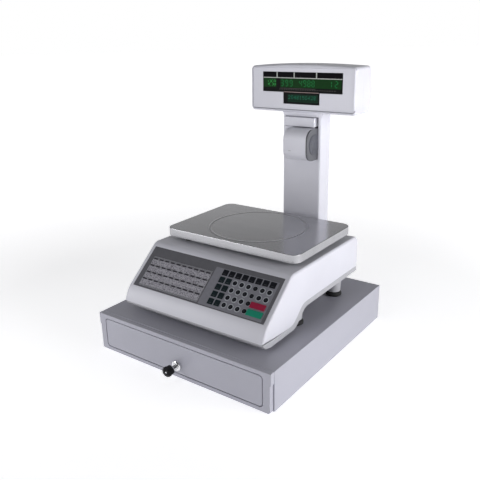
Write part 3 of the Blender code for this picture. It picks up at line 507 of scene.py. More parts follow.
def drawer_shell():
    softened("drawer_cover", 0.0007)
    softened("drawer_case", 0.0003)
    softened("front_frame", 0.0005)
    softened("drawer_front", 0.0005)
    bm = bmesh.new()
    rear = face((0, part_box("drawer_cover")[1].y, 0), REAR)
    for u in (-0.195, -0.065, 0.065, 0.195):
        for v in (0.012, 0.0745):
            screw(bm, rear, u, v, 0.0032)
    piece("cover_screws", bm, ZINC, slot="zinc_steel")
    for side in ("left", "right"):
        softened(f"slide_channel_{side}", 0.0003)
    for i in range(1, 5):
        pad(i)


def pad(number):
    node = f"base_pad_{number}"
    low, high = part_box(node)
    radius, height = (high.x - low.x) / 2, high.z - low.z
    bm = bmesh.new()
    centre = middle(node)
    profile = [(0, 0.0004), (radius * 0.45, 0.0004), (radius * 0.55, 0), (radius - 0.0006, 0)]
    profile += [(radius, 0.0005), (radius, height), (0, height)]
    lathe(bm, face((centre.x, centre.y, low.z), TOP), profile, 40)
    stands_for(piece(f"pad_{number}", bm, RUBBER), node)


def roller(node, bore, hub_inset):
    """A wheel with a rounded tread and a hub set in from its faces."""
    radius, half = wheel_size(node)
    place = face(middle(node), RIGHT)
    profile = [
        (bore, -half + hub_inset),
        (radius * 0.62, -half + hub_inset),
        (radius * 0.68, -half),
        (radius * 0.92, -half),
        (radius, -half + radius * 0.12),
        (radius, half - radius * 0.12),
        (radius * 0.92, half),
        (radius * 0.68, half),
        (radius * 0.62, half - hub_inset),
        (bore, half - hub_inset),
    ]
    bm = bmesh.new()
    lathe(bm, place, profile, 36)
    stands_for(piece(f"{node}_wheel", bm, DARK_PLASTIC, body_of(node)), node)


def drawer_inside():
    softened("drawer_tray", 0.0003)
    softened("till_insert", 0.0008, segments=3)
    for i in range(1, 6):
        node = f"bill_clip_{i}"
        softened(node, 0.0004)
        clip_spring(i, node)
    for side in ("left", "right"):
        roller(f"rear_roller_{side}", 0.0022, 0.0010)
        roller(f"front_roller_{side}", 0.0019, 0.0008)


def clip_spring(number, node):
    """The small coil on a clip's rod that presses it down."""
    low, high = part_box(node)
    rod = Vector((0, high.y - 0.0028, high.z - 0.0028))
    start = low.x + 0.008
    turns, steps, radius = 5, 12, 0.0034
    points = []
    for i in range(turns * steps + 1):
        angle = 2 * math.pi * i / steps
        across = start + 0.0065 * i / (turns * steps)
        points.append((across, rod.y + radius * math.cos(angle), rod.z + radius * math.sin(angle)))
    bm = bmesh.new()
    tube(bm, points, 0.0004, 6)
    piece(f"clip_spring_{number}", bm, CHROME, body_of(node), slot="chrome")


def lock_and_key():
    centre = middle("lock_barrel")
    low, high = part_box("lock_barrel")
    flange = (high.x - low.x) / 2
    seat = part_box("drawer_front")[0].y
    place = face((centre.x, seat, centre.z), FRONT)
    lip, rear = seat - low.y, seat - high.y
    bore, body = 0.0058, 0.0095
    profile = [
        (bore, rear),
        (body, rear),
        (body, 0.0003),
        (flange, 0.0003),
        (flange, lip - 0.0018),
        (flange - 0.0006, lip - 0.0008),
        (flange - 0.0018, lip),
        (flange - 0.0034, lip),
        (flange - 0.0042, lip - 0.0009),
        (bore, lip - 0.0009),
    ]
    bm = bmesh.new()
    lathe(bm, place, profile, 56)
    stands_for(piece("lock_flange", bm, CHROME, "drawer", sharp=25), "lock_barrel")
    softened("lock_plug", 0.0002)
    softened("lock_cam", 0.0003)
    tilt = math.radians(45)  # the key stands between its two end positions
    directions = ((math.cos(tilt), 0, -math.sin(tilt)), (0, -1, 0))
    blade_low, blade_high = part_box("key_blade")
    place = face((centre.x, blade_high.y, centre.z), directions)
    key_blade(place, blade_high.y - blade_low.y)
    head_low, head_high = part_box("key_head")
    place = face((centre.x, head_high.y, centre.z), directions)
    key_head(place, head_high.y - head_low.y)


def key_blade(place, length):
    """The key's steel, with its cuts along one edge and a milled groove on each side."""
    half = 0.0040
    cuts = [0.0012, 0.0004, 0.0016, 0.0008, 0.0018, 0.0006]
    top = [(half, length)]
    v = 0.021
    top.append((half, v + 0.001))
    for depth in cuts:
        top += [(half - depth, v - 0.0008), (half - depth, v - 0.0020)]
        v -= 0.0032
    top += [(half - 0.0004, v - 0.0006), (half - 0.0022, 0)]
    top += [(-half + 0.0012, 0), (-half, 0.0012), (-half, length)]
    bm = bmesh.new()
    slab(bm, place, top, -0.0008, 0.0008)
    rib = [(-0.0026, 0.0016), (-0.0008, 0.0016), (-0.0008, length), (-0.0026, length)]
    slab(bm, place, rib, -0.0011, 0.0011)
    stands_for(piece("key_steel", bm, CHROME, "lock", 0.00015), "key_blade")


def key_head(place, length):
    """The moulded bow: rounded, waisted by the blade, with a hole for a ring and raised grips."""
    half = 0.0110
    outline = [(-0.0062, 0), (0.0062, 0), (0.0095, 0.0030)]
    for i in range(13):
        angle = math.radians(-25 + 230 * i / 12)
        u = half * math.cos(angle)
        v = length * 0.60 + length * 0.40 * math.sin(angle)
        outline.append((u, v))
    outline.append((-0.0095, 0.0030))
    hole = circle(0, length * 0.78, 0.0028, 16)[::-1]
    bm = bmesh.new()
    slab(bm, place, outline, -0.0032, 0.0032, [hole])
    stands_for(piece("key_bow", bm, BLACK_PLASTIC, "lock", 0.0010, 3, 40), "key_head")
    bm = bmesh.new()
    for side in (-1, 1):
        low, high = sorted((side * 0.0030, side * 0.0037))
        for row in range(4):
            v = 0.0040 + 0.0022 * row
            slab(bm, place, rounded(-0.0052, v, 0.0052, v + 0.0011, 0.0005), low, high)
    piece("key_grips", bm, BLACK_PLASTIC, "lock", 0.0002, slot="black_plastic")


def latch():
    softened("latch_solenoid", 0.0003)
    low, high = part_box("latch_plunger")
    centre = middle("latch_plunger")
    radius, height = (high.x - low.x) / 2, high.z - low.z
    profile = [(0, 0), (radius * 0.9, 0), (radius, 0.0003), (radius, height - 0.0030)]
    profile += [(radius * 0.62, height - 0.0004), (radius * 0.5, height), (0, height)]
    bm = bmesh.new()
    lathe(bm, face((centre.x, centre.y, low.z), TOP), profile, 32)
    stands_for(piece("latch_pin", bm, CHROME, "latch"), "latch_plunger")
    low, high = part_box("latch_solenoid")
    bm = bmesh.new()
    place = face((low.x, (low.y + high.y) / 2, (low.z + high.z) / 2), LEFT)
    slab(bm, place, rounded(-0.011, -0.0085, 0.011, 0.0085, 0.002), 0, 0.0009)
    piece("solenoid_winding", bm, COPPER, width=0.0003)
    spring_low, spring_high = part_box("eject_spring")
    centre = middle("eject_spring")
    turns, steps = 8, 18
    radius = (spring_high.x - spring_low.x) / 2 - 0.0008
    y0, y1 = spring_low.y + 0.0008, spring_high.y - 0.0008
    points = []
    for i in range(turns * steps + 1):
        angle = 2 * math.pi * i / steps
        y = y0 + (y1 - y0) * i / (turns * steps)
        points.append((centre.x + radius * math.cos(angle), y, centre.z + radius * math.sin(angle)))
    bm = bmesh.new()
    tube(bm, points, 0.0008, 8)
    stands_for(piece("eject_coil", bm, ZINC), "eject_spring")


# Weighing unit


def weighing_body():
    softened("upper_housing", 0.0004, segments=2, sharp=32)
    softened("scale_chassis", 0.0005, sharp=32)
    for i in range(1, 5):
        foot(i)
    bm = bmesh.new()
    rear = face((0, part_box("upper_housing")[1].y, 0), REAR)
    for u in (-0.165, 0.165):
        for v in (0.150, 0.185):
            screw(bm, rear, u, v, 0.0030)
    piece("housing_screws", bm, ZINC, slot="zinc_steel")
    # painted shade: black plates stand for the vent slots, whose dark is the shade inside them
    bm = bmesh.new()
    for row in range(5):
        v = 0.152 + 0.0072 * row
        slab(bm, rear, rounded(-0.150, v, -0.075, v + 0.0028, 0.0013), -0.0001, 0.0003)
    piece("housing_vent_slot_shade", bm, BLACK_PLASTIC, width=0.0001, slot="black_plastic")


def foot(number):
    """A ribbed rubber foot on a threaded steel stud."""
    node = f"levelling_foot_{number}"
    low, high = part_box(node)
    centre = middle(node)
    radius, height = (high.x - low.x) / 2, 0.009
    place = face((centre.x, centre.y, low.z), TOP)
    profile = [
        (0, 0.0006),
        (radius * 0.55, 0.0006),
        (radius * 0.62, 0),
        (radius - 0.0014, 0),
        (radius, 0.0014),
        (radius, 0.0026),
        (radius - 0.0008, 0.0031),
        (radius, 0.0036),
        (radius, 0.0046),
        (radius - 0.0008, 0.0051),
        (radius - 0.0004, 0.0058),
        (radius - 0.0012, 0.0075),
        (radius - 0.0034, height),
        (0, height),
    ]
    bm = bmesh.new()
    lathe(bm, place, profile, 48)
    body = body_of(node)
    stands_for(piece(f"foot_{number}_rubber", bm, RUBBER, body), node)
    profile = [(0, height - 0.0005)]
    w, top = height + 0.0003, high.z - low.z
    while w < top - 0.0013:
        profile += [(0.0036, w), (0.0041, w + 0.00045)]
        w += 0.0009
    profile += [(0.0034, top - 0.0004), (0, top)]
    bm = bmesh.new()
    lathe(bm, place, profile, 20)
    piece(f"foot_{number}_stud", bm, ZINC, body, slot="zinc_steel", sharp=60)


def keypad():
    """The film, its printed fields, the product card and every key."""
    low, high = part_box("keypad_overlay")
    top = (high.y - FILM * math.sin(SLOPE_ANGLE), high.z)
    length = (high.z - low.z - FILM * math.cos(SLOPE_ANGLE)) / math.sin(SLOPE_ANGLE)
    place = face((0, *top), SLOPE)
    softened("keypad_overlay", 0.0001)
    softened("product_card", 0.0)
    product_card(place)
    key_field(place, length)
    for node, paint in (("cancel_key", RED_KEY), ("enter_key", GREEN_KEY)):
        softened(node, 0.0004, paint, 3)
    softened("keypad_board", 0.0001)


CARD_COLUMNS = 10
CARD_ROWS = 4
CARD_PITCH = 0.01646
ROW_PITCH = 0.0168
FIRST_TAG = 0.0292  # from the panel's top edge down to the first strip
KEY_PITCH = 0.0165
FIRST_KEY = 0.0370  # the first key column's middle
FIRST_ROW = 0.0195  # from the panel's top edge down to the first key row's middle
SQUARE = 0.0067  # half a square key's width
ROUND = 0.0050  # a round key's radius
SQUARE_TOP = 0.0007  # how far a square key stands out
ROUND_TOP = 0.0009
RING_LINE = 0.0017  # width of the pale line round a round key
INK_RISE = 0.00006


def product_card(place):
    """Forty cells, each with a dark strip above it for its tag."""
    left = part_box("product_card")[0].x
    cells, tags = bmesh.new(), bmesh.new()
    for row in range(CARD_ROWS):
        v = -FIRST_TAG - row * ROW_PITCH
        for column in range(CARD_COLUMNS):
            u0 = left + column * CARD_PITCH
            u1 = u0 + CARD_PITCH
            outline = rounded(u0 + 0.0003, v - 0.0145, u1 - 0.0003, v - 0.0019, 0.0006, 2)
            slab(cells, place, outline, 0, 0.00025)
            outline = rounded(u0 + 0.0018, v - 0.0018, u1 - 0.0034, v + 0.0017, 0.0005, 2)
            slab(tags, place, outline, 0, 0.0003)
    piece("product_cells", cells, CELL_PAINT, width=0.0001, slot="card")
    piece("product_tags", tags, CELL_TAG, width=0.0001, slot="keypad_film")


def key_rows():
    """(column, row, square) of every black key of the right-hand field."""
    keys = []
    for row in range(5):
        for column in range(8):
            wide_key = row > 2 and column > 5
            if not wide_key:
                keys.append((column, row, row == 0 or column < 2))
    return keys


def key_field(place, length):
    """The paler field right of the card, with every black key, its ring and its mark."""
    field = bmesh.new()
    u0, u1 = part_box("product_card")[1].x + 0.0030, 0.1640
    rows = (FIRST_ROW - 0.0085, length - 0.0022)
    slab(field, place, rounded(u0, -rows[1], u1, -rows[0], 0.001), 0, SKIN)
    piece("key_field", field, FILM_LIGHT, slot="keypad_film")
    squares, greenish, rounds, rings, ink = (bmesh.new() for _ in range(5))
    labels = iter("789456123000" * 4)
    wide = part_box("cancel_key")[0].x
    for column, row, square in key_rows():
        u, v = FIRST_KEY + column * KEY_PITCH, -FIRST_ROW - row * ROW_PITCH
        if square:
            target = squares if row == 0 else greenish
            outline = rounded(u - SQUARE, v - SQUARE, u + SQUARE, v + SQUARE, 0.0009, 3)
            slab(target, place, outline, SKIN, SQUARE_TOP)
            mark = rounded(u - 0.0030, v - 0.0034, u + 0.0030, v - 0.0029, 0.0002, 2)
            slab(ink, place, mark, SQUARE_TOP, SQUARE_TOP + INK_RISE)
            continue
        line = RING_LINE
        if u < wide:  # a ring stays clear of the two wide keys, which travel
            line = min(line, wide - 0.0004 - u - ROUND)
        hole = circle(u, v, ROUND, 28)[::-1]
        slab(rings, place, circle(u, v, ROUND + line, 28), SKIN, 0.0003, [hole])
        slab(rounds, place, circle(u, v, ROUND - 0.0001, 28), SKIN, ROUND_TOP)
        heights = (ROUND_TOP, ROUND_TOP + INK_RISE)
        if row and 2 <= column <= 4:
            size = (0.0018, 0.0030, 0.0003)
            digit(ink, place, next(labels), u - 0.0009, v - 0.0015, *size, *heights)
        else:
            mark = rounded(u - 0.0014, v - 0.0002, u + 0.0014, v + 0.0003, 0.0002, 2)
            slab(ink, place, mark, *heights)
    piece("square_keys", squares, KEY_BLACK, width=0.0003, slot="black_plastic")
    piece("department_keys", greenish, KEY_GREENISH, width=0.0003, slot="black_plastic")
    piece("round_keys", rounds, KEY_BLACK, width=0.0003, slot="black_plastic")
    piece("key_rings", rings, KEY_RING, width=0.00008, slot="keypad_film")
    piece("key_ink", ink, INK, slot="card")


PLATTER_EMBOSS = 0.110  # radius of the raised ring
EMBOSS_RISE = 0.0003


def platter():
    softened("weighing_platter", 0.0020, segments=4, sharp=32)
    low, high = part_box("weighing_platter")
    centre = middle("weighing_platter")
    place = face((centre.x, centre.y, high.z), TOP)
    bm = bmesh.new()
    profile = [
        (PLATTER_EMBOSS - 0.0040, -0.0004),
        (PLATTER_EMBOSS - 0.0030, 0.00005),
        (PLATTER_EMBOSS - 0.0014, EMBOSS_RISE * 0.8),
        (PLATTER_EMBOSS, EMBOSS_RISE),
        (PLATTER_EMBOSS + 0.0014, EMBOSS_RISE * 0.8),
        (PLATTER_EMBOSS + 0.0030, 0.00005),
        (PLATTER_EMBOSS + 0.0040, -0.0004),
    ]
    lathe(bm, place, profile, 128)
    piece("platter_emboss", bm, EMBOSS_STEEL, "platter", slot="stainless", sharp=60)
    bm = bmesh.new()
    under = face((centre.x, centre.y, low.z + 0.0002), TOP)
    half_x, half_y = (high.x - low.x) / 2, (high.y - low.y) / 2
    outer, inner = (
        rounded(-half_x + inset, -half_y + inset, half_x - inset, half_y - inset, radius, 6)
        for inset, radius in ((0.0012, 0.0188), (0.0052, 0.0150))
    )
    slab(bm, under, outer, 0, 0.0010, [inner[::-1]])
    piece("platter_hem", bm, PLATTER_STEEL, "platter", 0.0003, slot="stainless")


def load_path():
    softened("platter_spider", 0.0006)
    softened("load_cell", 0.0005)
    bm = bmesh.new()
    low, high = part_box("load_cell")
    spider_low, spider_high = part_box("platter_spider")
    seat = face((0, 0, spider_low.z + 0.0058), TOP)
    for v in (low.y + 0.010, low.y + 0.022):
        screw(bm, seat, 0, v, 0.0036, 0.002)
    seat = face((0, 0, spider_high.z - 0.011), TOP)
    centre = middle("platter_spider")
    for x, y in ((-1, -1), (1, -1), (-1, 1), (1, 1)):
        screw(bm, seat, centre.x + 0.011 * x, centre.y + 0.011 * y, 0.0022, 0.0014, 0.0004)
    piece("spider_screws", bm, ZINC, slot="zinc_steel")
    bm = bmesh.new()
    side = face((high.x, 0, 0), RIGHT)
    mid = (low.z + high.z) / 2
    slab(bm, side, rounded(0.036, mid - 0.014, 0.068, mid + 0.014, 0.002), 0, 0.0007)
    side = face((low.x, 0, 0), LEFT)
    slab(bm, side, rounded(-0.068, mid - 0.014, -0.036, mid + 0.014, 0.002), 0, 0.0007)
    piece("strain_gauge_seal", bm, PAPER, width=0.0003)


def components(chips, pins, place, layout):
    """Packages on a board, with their pins: (u, v, half width, half height, tall)."""
    for u, v, a, b, tall in layout:
        slab(chips, place, rounded(u - a, v - b, u + a, v + b, 0.0004, 2), 0.0002, tall)
        count = max(2, int(a / 0.0012))
        for i in range(count):
            x = u - a + (i + 0.5) * 2 * a / count
            for side in (-1, 1):
                v0, v1 = sorted((v + side * b, v + side * (b + 0.0012)))
                slab(pins, place, oblong(x - 0.0003, v0, x + 0.0003, v1), 0.0, 0.0004)


def electronics():
    softened("main_board", 0.0001)
    low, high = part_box("main_board")
    place = face((low.x, low.y, high.z), TOP)
    chips, pins = bmesh.new(), bmesh.new()
    layout = [
        (0.040, 0.070, 0.011, 0.011, 0.0022),
        (0.085, 0.095, 0.009, 0.006, 0.0020),
        (0.085, 0.060, 0.007, 0.004, 0.0018),
        (0.110, 0.120, 0.010, 0.005, 0.0020),
        (0.030, 0.115, 0.006, 0.004, 0.0016),
        (0.115, 0.030, 0.008, 0.004, 0.0018),
        (0.060, 0.025, 0.012, 0.004, 0.0070),
        (0.020, 0.030, 0.005, 0.003, 0.0015),
    ]
    components(chips, pins, place, layout)
    capacitors = (
        (0.015, 0.135, 0.005, 0.011),
        (0.050, 0.135, 0.004, 0.010),
        (0.125, 0.085, 0.005, 0.012),
    )
    for u, v, radius, tall in capacitors:
        can = [(0, 0), (radius, 0), (radius, tall - 0.0005), (radius - 0.0006, tall), (0, tall)]
        lathe(chips, place @ Matrix.Translation((u, v, 0)), can, 24)
    piece("board_packages", chips, CHIP, width=0.0002)
    piece("board_pins", pins, TIN)
    softened("power_supply", 0.0004)
    low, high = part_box("power_supply")
    place = face((low.x, low.y, high.z), TOP)
    # painted shade: black patches stand for the vent slots, whose dark is the shade inside them
    bm = bmesh.new()
    for row in range(7):
        for column in range(9):
            u, v = 0.016 + 0.0078 * column, 0.030 + 0.0125 * row
            slot = rounded(u - 0.0026, v - 0.0014, u + 0.0026, v + 0.0014, 0.0013)
            slab(bm, place, slot, 0, SKIN)
    piece("supply_vent_shade", bm, BLACK_PLASTIC)
    softened("display_board", 0.0003)
    softened("tower_bracket", 0.0003)


def bubble_level():
    low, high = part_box("bubble_level")
    centre = middle("bubble_level")
    radius = (high.x - low.x) / 2
    place = face((centre.x, centre.y, low.z), TOP)
    bm = bmesh.new()
    rim = [(radius * 0.72, 0), (radius, 0), (radius, 0.0030)]
    rim += [(radius * 0.93, 0.0040), (radius * 0.78, 0.0040), (radius * 0.72, 0.0034)]
    lathe(bm, place, rim, 48)
    stands_for(piece("level_collar", bm, BLACK_PLASTIC), "bubble_level")
    bm = bmesh.new()
    dome = [(0, 0), (radius * 0.71, 0), (radius * 0.71, 0.0028)]
    dome += [(radius * 0.4, 0.0036), (0, 0.0039)]
    lathe(bm, place, dome, 48)
    piece("level_vial", bm, VIAL, slot="vial", sharp=60)
    bm = bmesh.new()
    place = place @ Matrix.Translation((0, 0, 0.00375))
    lathe(bm, place, oblong(0.0026, -0.0006, 0.0029, 0.0002), 32)
    piece("level_ring", bm, RUBBER, slot="rubber")


def rear_sockets():
    softened("power_inlet", 0.0005)
    softened("power_switch", 0.0004, segments=3)
    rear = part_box("power_inlet")[1].y
    centre = middle("power_inlet")
    bm = bmesh.new()
    place = face((centre.x, rear - 0.0165, centre.z), REAR)
    for u, v in ((-0.007, -0.0015), (0.007, -0.0015), (0, 0.0030)):
        pin = rounded(u - 0.001, v - 0.0024, u + 0.001, v + 0.0024, 0.0004)
        slab(bm, place, pin, -0.001, 0.0125)
    piece("inlet_pins", bm, BRASS, width=0.0003)
    bm = bmesh.new()
    place = face((0, rear, 0), REAR)
    for u in (-centre.x - 0.0145, -centre.x + 0.0145):
        screw(bm, place, u, centre.z - 0.0095, 0.0017, 0.0008)
    piece("inlet_screws", bm, ZINC, slot="zinc_steel")


# Tower


def tower():
    softened("tower_front_shell", 0.0005, sharp=32)
    softened("tower_rear_shell", 0.0005, sharp=32)
    softened("display_bezel", 0.0005)
    softened("operator_lens", 0.0003)
    softened("customer_lens", 0.0002, sharp=50)
    operator_display()
    # painted shade: a darker tube along the groove of the head's front cover
    head_groove_shade()
    customer_display()
    bm = bmesh.new()
    place = face((0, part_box("tower_rear_shell")[0].y + 0.0223, 0), REAR)
    centre = -middle("tower_rear_shell").x
    for v in (0.225, 0.330, 0.435):
        for u in (centre - 0.036, centre + 0.036):
            screw(bm, place, u, v, 0.0028)
    piece("tower_screws", bm, ZINC, slot="zinc_steel")


FIELDS = (  # from u, to u, figures, blank places before them
    (0.002, 0.037, "1250", 1),
    (0.048, 0.086, "399", 0),
    (0.0862, 0.142, "4988", 1),
    (0.1422, 0.205, "12", 2),
)
DIVIDERS = (0.0390, 0.0850, 0.1430)
DIVIDER_HALF = 0.0013
FIELD_MARGIN = 0.002
FIGURE_WIDTH = 0.0062
FIGURE_HEIGHT = 0.0130
FIGURE_STROKE = 0.0015


def figures_in(field, bm, place, v):
    u0, u1, text, blanks = field
    pitch = (u1 - u0 - FIELD_MARGIN) / (len(text) + blanks)
    width = min(FIGURE_WIDTH, pitch * 0.62)
    for i, character in enumerate(text):
        u = u0 + FIELD_MARGIN + (i + blanks) * pitch
        digit(bm, place, character, u, v, width, FIGURE_HEIGHT, FIGURE_STROKE, SKIN, 2 * SKIN)


def operator_display():
    """The wide window's header labels, glowing figures and dark foot, over a message line."""
    low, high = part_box("operator_lens")
    place = face((low.x, low.y, high.z), FRONT)
    width = high.x - low.x
    header, band_top, band_low, foot = -0.0115, -0.0142, -0.0345, -0.0445
    labels = bmesh.new()
    sides = [(d - DIVIDER_HALF, d + DIVIDER_HALF) for d in DIVIDERS]
    edges = [0.0, *(u for pair in sides for u in pair), width]
    for u0, u1 in zip(edges[::2], edges[1::2]):
        label = rounded(u0 + 0.0006, header, u1 - 0.0006, -0.0006, 0.0004, 2)
        slab(labels, place, label, 0, 0.0002)
    piece("display_headers", labels, HEADER, width=0.00005, slot="display_lens")
    pale = bmesh.new()
    for u0, u1 in sides:
        slab(pale, place, rounded(u0, header - 0.0012, u1, -0.0002, 0.0003, 2), 0, 0.0004)
    rule = rounded(0.0010, header - 0.0024, width - 0.0010, header - 0.0006, 0.0003, 2)
    slab(pale, place, rule, 0, 0.0003)
    piece("display_rules", pale, PALE_LINE, slot="housing_plastic")
    glow, figures, bright = (bmesh.new() for _ in range(3))
    for field in FIELDS:
        slab(glow, place, rounded(field[0], band_low, field[1], band_top, 0.0006, 2), 0, SKIN)
        target = bright if field is FIELDS[0] else figures
        figures_in(field, target, place, band_low + 0.0035)
    piece("display_glow", glow, BAND)
    piece("display_figures", figures, DIGIT)
    piece("display_figures_first", bright, DIGIT_PALE)
    marks = bmesh.new()
    for i in range(24):
        u = 0.045 + 0.0062 * i
        slab(marks, place, rounded(u, foot + 0.0050, u + 0.0034, foot + 0.0062, 0.0003, 2), 0, SKIN)
    line = rounded(0.046, band_low - 0.0022, 0.140, band_low - 0.0014, 0.0003, 2)
    slab(marks, place, line, 0, SKIN)
    piece("display_marks", marks, DARK_INK)
    seam = bmesh.new()
    centre = middle("operator_lens").x - low.x
    line = rounded(centre - 0.0465, foot - 0.0006, centre + 0.0465, foot + 0.0006, 0.0003, 2)
    slab(seam, place, line, 0, 0.0002)
    piece("display_seam", seam, PINK_LINE)
    message(place, centre, foot)


def message(place, centre, top):
    """The dot-matrix line of the lower window, showing figures."""
    glow, dots = bmesh.new(), bmesh.new()
    window = rounded(centre - 0.0360, top - 0.0225, centre + 0.0440, top - 0.0045, 0.0008, 2)
    slab(glow, place, window, 0, SKIN)
    piece("message_glow", glow, MESSAGE_BAND)
    rows = {  # five dots a row, from the top
        "0": "0111010001100011000110001100010111000000",
        "1": "0010001100001000010000100001000111000000",
        "2": "0111010001000010001000100010001111100000",
        "4": "0001000110010101001011111000100001000000",
        "8": "0111010001100010111010001100010111000000",
        "5": "1111110000111100000100001100010111000000",
    }
    text = "2048150428"
    for i, character in enumerate(text):
        for j, bit in enumerate(rows[character]):
            if bit == "1":
                u = centre - 0.0340 + 0.0074 * i + 0.0011 * (j % 5)
                v = top - 0.0085 - 0.0012 * (j // 5)
                slab(dots, place, oblong(u, v, u + 0.0009, v + 0.0010), SKIN, 2 * SKIN)
    piece("message_dots", dots, MESSAGE_DOT)


def head_groove_shade():
    """A darker tube round the foot and the ends of the head's front cover: painted shade of the
    groove there.
    """
    low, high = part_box("tower_front_shell")
    panel_low, panel_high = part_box("display_bezel")
    foot_z = panel_low.z - 0.0008
    inset = 0.0012
    points = []
    for u, v in rounded(low.x + inset, foot_z, high.x - inset, panel_high.z + 0.003, 0.006, 5):
        if v < panel_high.z:
            rise = min(1.0, (v - foot_z) / 0.008)
            points.append((u, low.y + 0.0006 + 0.0026 * rise, v))
    bm = bmesh.new()
    tube(bm, points, 0.0010, 8)
    piece("head_groove_shade", bm, GROOVE_SHADE_PLASTIC, slot="chassis_plastic")


def customer_display():
    low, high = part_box("customer_lens")
    place = face((high.x, high.y, (low.z + high.z) / 2), REAR)
    glow, figures = bmesh.new(), bmesh.new()
    for field in FIELDS:
        slab(glow, place, rounded(field[0], -0.0095, field[1], 0.0095, 0.0006, 2), -0.0030, SKIN)
        figures_in(field, figures, place, -FIGURE_HEIGHT / 2)
    piece("customer_glow", glow, BAND)
    piece("customer_figures", figures, DIGIT)


# Label printer


def printer():
    softened("printer_cover", 0.0006, sharp=30)
    softened("printer_frame", 0.0003, sharp=30)
    softened("print_head", 0.0004, sharp=32)
    label_roll()
    platen()
    roll_hub()
    cover_catch()


def label_roll():
    """A roll whose ends show its windings as shallow steps, on a cardboard core."""
    radius, half = wheel_size("paper_roll")
    place = face(middle("paper_roll"), RIGHT)
    layers = []
    bore, count = 0.0080, 10
    for i in range(count):
        r0 = bore + (radius - bore) * i / count
        r1 = bore + (radius - bore) * (i + 1) / count
        layers += [(r0 + 0.0002, half - 0.00025), (r0 + 0.0004, half), (r1 - 0.0002, half)]
    profile = [(bore, -half), *[(r, -w) for r, w in layers], (radius, -half + 0.0003)]
    profile += [(radius, half - 0.0003), *layers[::-1], (bore, half)]
    bm = bmesh.new()
    lathe(bm, place, profile, 72)
    stands_for(piece("label_paper", bm, PAPER, "roll", sharp=50), "paper_roll")
    bm = bmesh.new()
    lathe(bm, place, oblong(0.0063, -half + 0.0004, bore - 0.0001, half - 0.0004), 40)
    piece("roll_core", bm, CORE, "roll")


def platen():
    radius, half = wheel_size("platen_roller")
    place = face(middle("platen_roller"), RIGHT)
    bm = bmesh.new()
    lathe(bm, place, oblong(0.0022, -half + 0.0016, radius, half - 0.0016), 40)
    stands_for(piece("platen_rubber", bm, RUBBER, "platen", 0.0002), "platen_roller")
    bm = bmesh.new()
    lathe(bm, place, [(0, -half), (0.0021, -half), (0.0021, half), (0, half)], 24)
    piece("platen_shaft", bm, CHROME, "platen", 0.0002, slot="chrome")


def roll_hub():
    """The disc and its ribs on the printer's right end, in line with the roll."""
    centre = middle("paper_roll")
    place = face((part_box("printer_frame")[1].x, centre.y, centre.z), RIGHT)
    bm = bmesh.new()
    radius = 0.0300
    profile = [(0, 0), (radius * 0.80, 0), (radius * 0.80, 0.0008), (radius * 0.70, 0.0014)]
    profile += [(radius * 0.30, 0.0014), (radius * 0.24, 0.0006), (0, 0.0006)]
    lathe(bm, place, profile, 56)
    piece("roll_end_disc", bm, HUB_PLASTIC, slot="dark_plastic", sharp=30)
    bm = bmesh.new()
    for i in range(6):
        angle = math.pi / 3 * i
        spoke = place @ Matrix.Rotation(angle, 4, "Z")
        rib = rounded(radius * 0.34, -0.0010, radius * 0.66, 0.0010, 0.0009, 3)
        slab(bm, spoke, rib, 0.0012, 0.0018)
    piece("roll_end_ribs", bm, DARK_PLASTIC, width=0.0002, slot="dark_plastic")


def cover_catch():
    place = face((0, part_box("printer_cover")[0].y, 0), FRONT)
    bm = bmesh.new()
    slab(bm, place, rounded(0.0150, 0.4015, 0.0215, 0.4030, 0.0006), -0.0004, 0.0004)
    piece("cover_tick", bm, CHASSIS, "cover", 0.0002, slot="chassis_plastic")


# Stage


CAMERA_SPOT = (0.72324, -1.00442, 0.65829)
CAMERA_YAW = math.radians(36.337)
CAMERA_PITCH = math.radians(19.244)
CAMERA_ROLL = math.radians(-1.170)
CAMERA_LENS = 44.288


def camera():
    data = bpy.data.cameras.new("camera")
    data.lens = CAMERA_LENS
    data.sensor_width = 36
    data.clip_start = 0.05
    level = Vector((-math.sin(CAMERA_YAW), math.cos(CAMERA_YAW), 0))
    forward = level * math.cos(CAMERA_PITCH) - Vector((0, 0, math.sin(CAMERA_PITCH)))
    right = Vector((math.cos(CAMERA_YAW), math.sin(CAMERA_YAW), 0))
    up = right.cross(forward)
    cos, sin = math.cos(CAMERA_ROLL), math.sin(CAMERA_ROLL)
    axes = (right * cos + up * sin, up * cos - right * sin, -forward)
    matrix = Matrix(axes).transposed().to_4x4()
    matrix.translation = CAMERA_SPOT
    obj = bpy.data.objects.new("camera", data)
    obj.matrix_world = matrix
    bpy.context.scene.collection.objects.link(obj)
    bpy.context.scene.camera = obj


def area_light(name, spot, target, size, power, spread=180):
    data = bpy.data.lights.new(name, "AREA")
    data.shape = "RECTANGLE"
    data.size, data.size_y = size
    data.energy = power
    data.spread = math.radians(spread)
    obj = bpy.data.objects.new(name, data)
    obj.location = spot
    obj.rotation_euler = (Vector(target) - Vector(spot)).to_track_quat("-Z", "Y").to_euler()
    bpy.context.scene.collection.objects.link(obj)


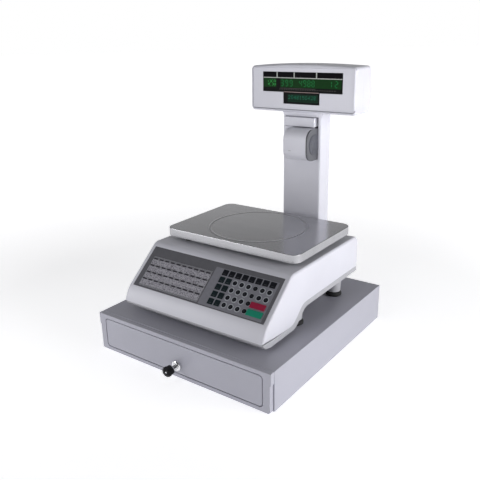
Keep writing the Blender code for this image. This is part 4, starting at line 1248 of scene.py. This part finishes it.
def stage():
    """The floor, a sky that is white near the horizon and darker overhead, and the lights."""
    bm = bmesh.new()
    slab(bm, face((0, 0, -0.001), TOP), circle(0, 0, FLOOR_RADIUS, 96), -0.02, 0)
    mesh = bpy.data.meshes.new("floor")
    bmesh.ops.recalc_face_normals(bm, faces=bm.faces)
    bm.to_mesh(mesh)
    bm.free()
    mesh.materials.append(FLOOR_PAINT.material)
    floor = bpy.data.objects.new("floor", mesh)
    bpy.context.scene.collection.objects.link(floor)
    world = bpy.data.worlds.new("studio")
    bpy.context.scene.world = world
    world.use_nodes = True
    nodes, link = world.node_tree.nodes, world.node_tree.links.new
    direction = nodes.new("ShaderNodeSeparateXYZ")
    link(nodes.new("ShaderNodeTexCoord").outputs["Generated"], direction.inputs["Vector"])
    both, brightest = nodes.new("ShaderNodeMath"), nodes.new("ShaderNodeMath")
    both.operation, brightest.operation = "MULTIPLY", "MAXIMUM"
    fades = (  # direction, from, to, strength at each end, where it goes
        ("Z", 0.10, 0.42, 1.0, 0.16, both.inputs[0]),
        ("Y", -0.9, 0.1, 0.45, 1.0, both.inputs[1]),
        ("Z", 0.10, 0.16, 1.0, 0.0, brightest.inputs[0]),
    )
    for axis, *values, target in fades:
        fade = nodes.new("ShaderNodeMapRange")
        fade.interpolation_type = "SMOOTHSTEP"
        for key, value in zip(("From Min", "From Max", "To Min", "To Max"), values):
            fade.inputs[key].default_value = value
        link(direction.outputs[axis], fade.inputs["Value"])
        link(fade.outputs["Result"], target)
    link(both.outputs["Value"], brightest.inputs[1])
    link(brightest.outputs["Value"], nodes["Background"].inputs["Strength"])
    nodes["Background"].inputs["Color"].default_value = (1, 1, 1, 1)
    area_light("key from the right", (2.4, 0.3, 0.7), (0, 0, 0.2), (1.4, 1.2), 36)
    corner = (-0.25, -0.25, 0.02)
    area_light("light from the left front", (-1.1, -1.3, 0.7), corner, (0.6, 0.4), 0.8, 60)
    area_light("fill from above the front", (-0.3, -2.0, 2.0), (0, 0, 0.2), (1.0, 0.8), 7)
    head = (0.20, 0.03, 0.53)
    area_light("light on the display", (1.1, -1.5, 0.60), head, (0.15, 0.15), 0.03, 12)
    bpy.context.scene.view_settings.view_transform = "Standard"


drawer_shell()
drawer_inside()
lock_and_key()
latch()
weighing_body()
keypad()
platter()
load_path()
electronics()
bubble_level()
rear_sockets()
tower()
printer()
stage()
camera()
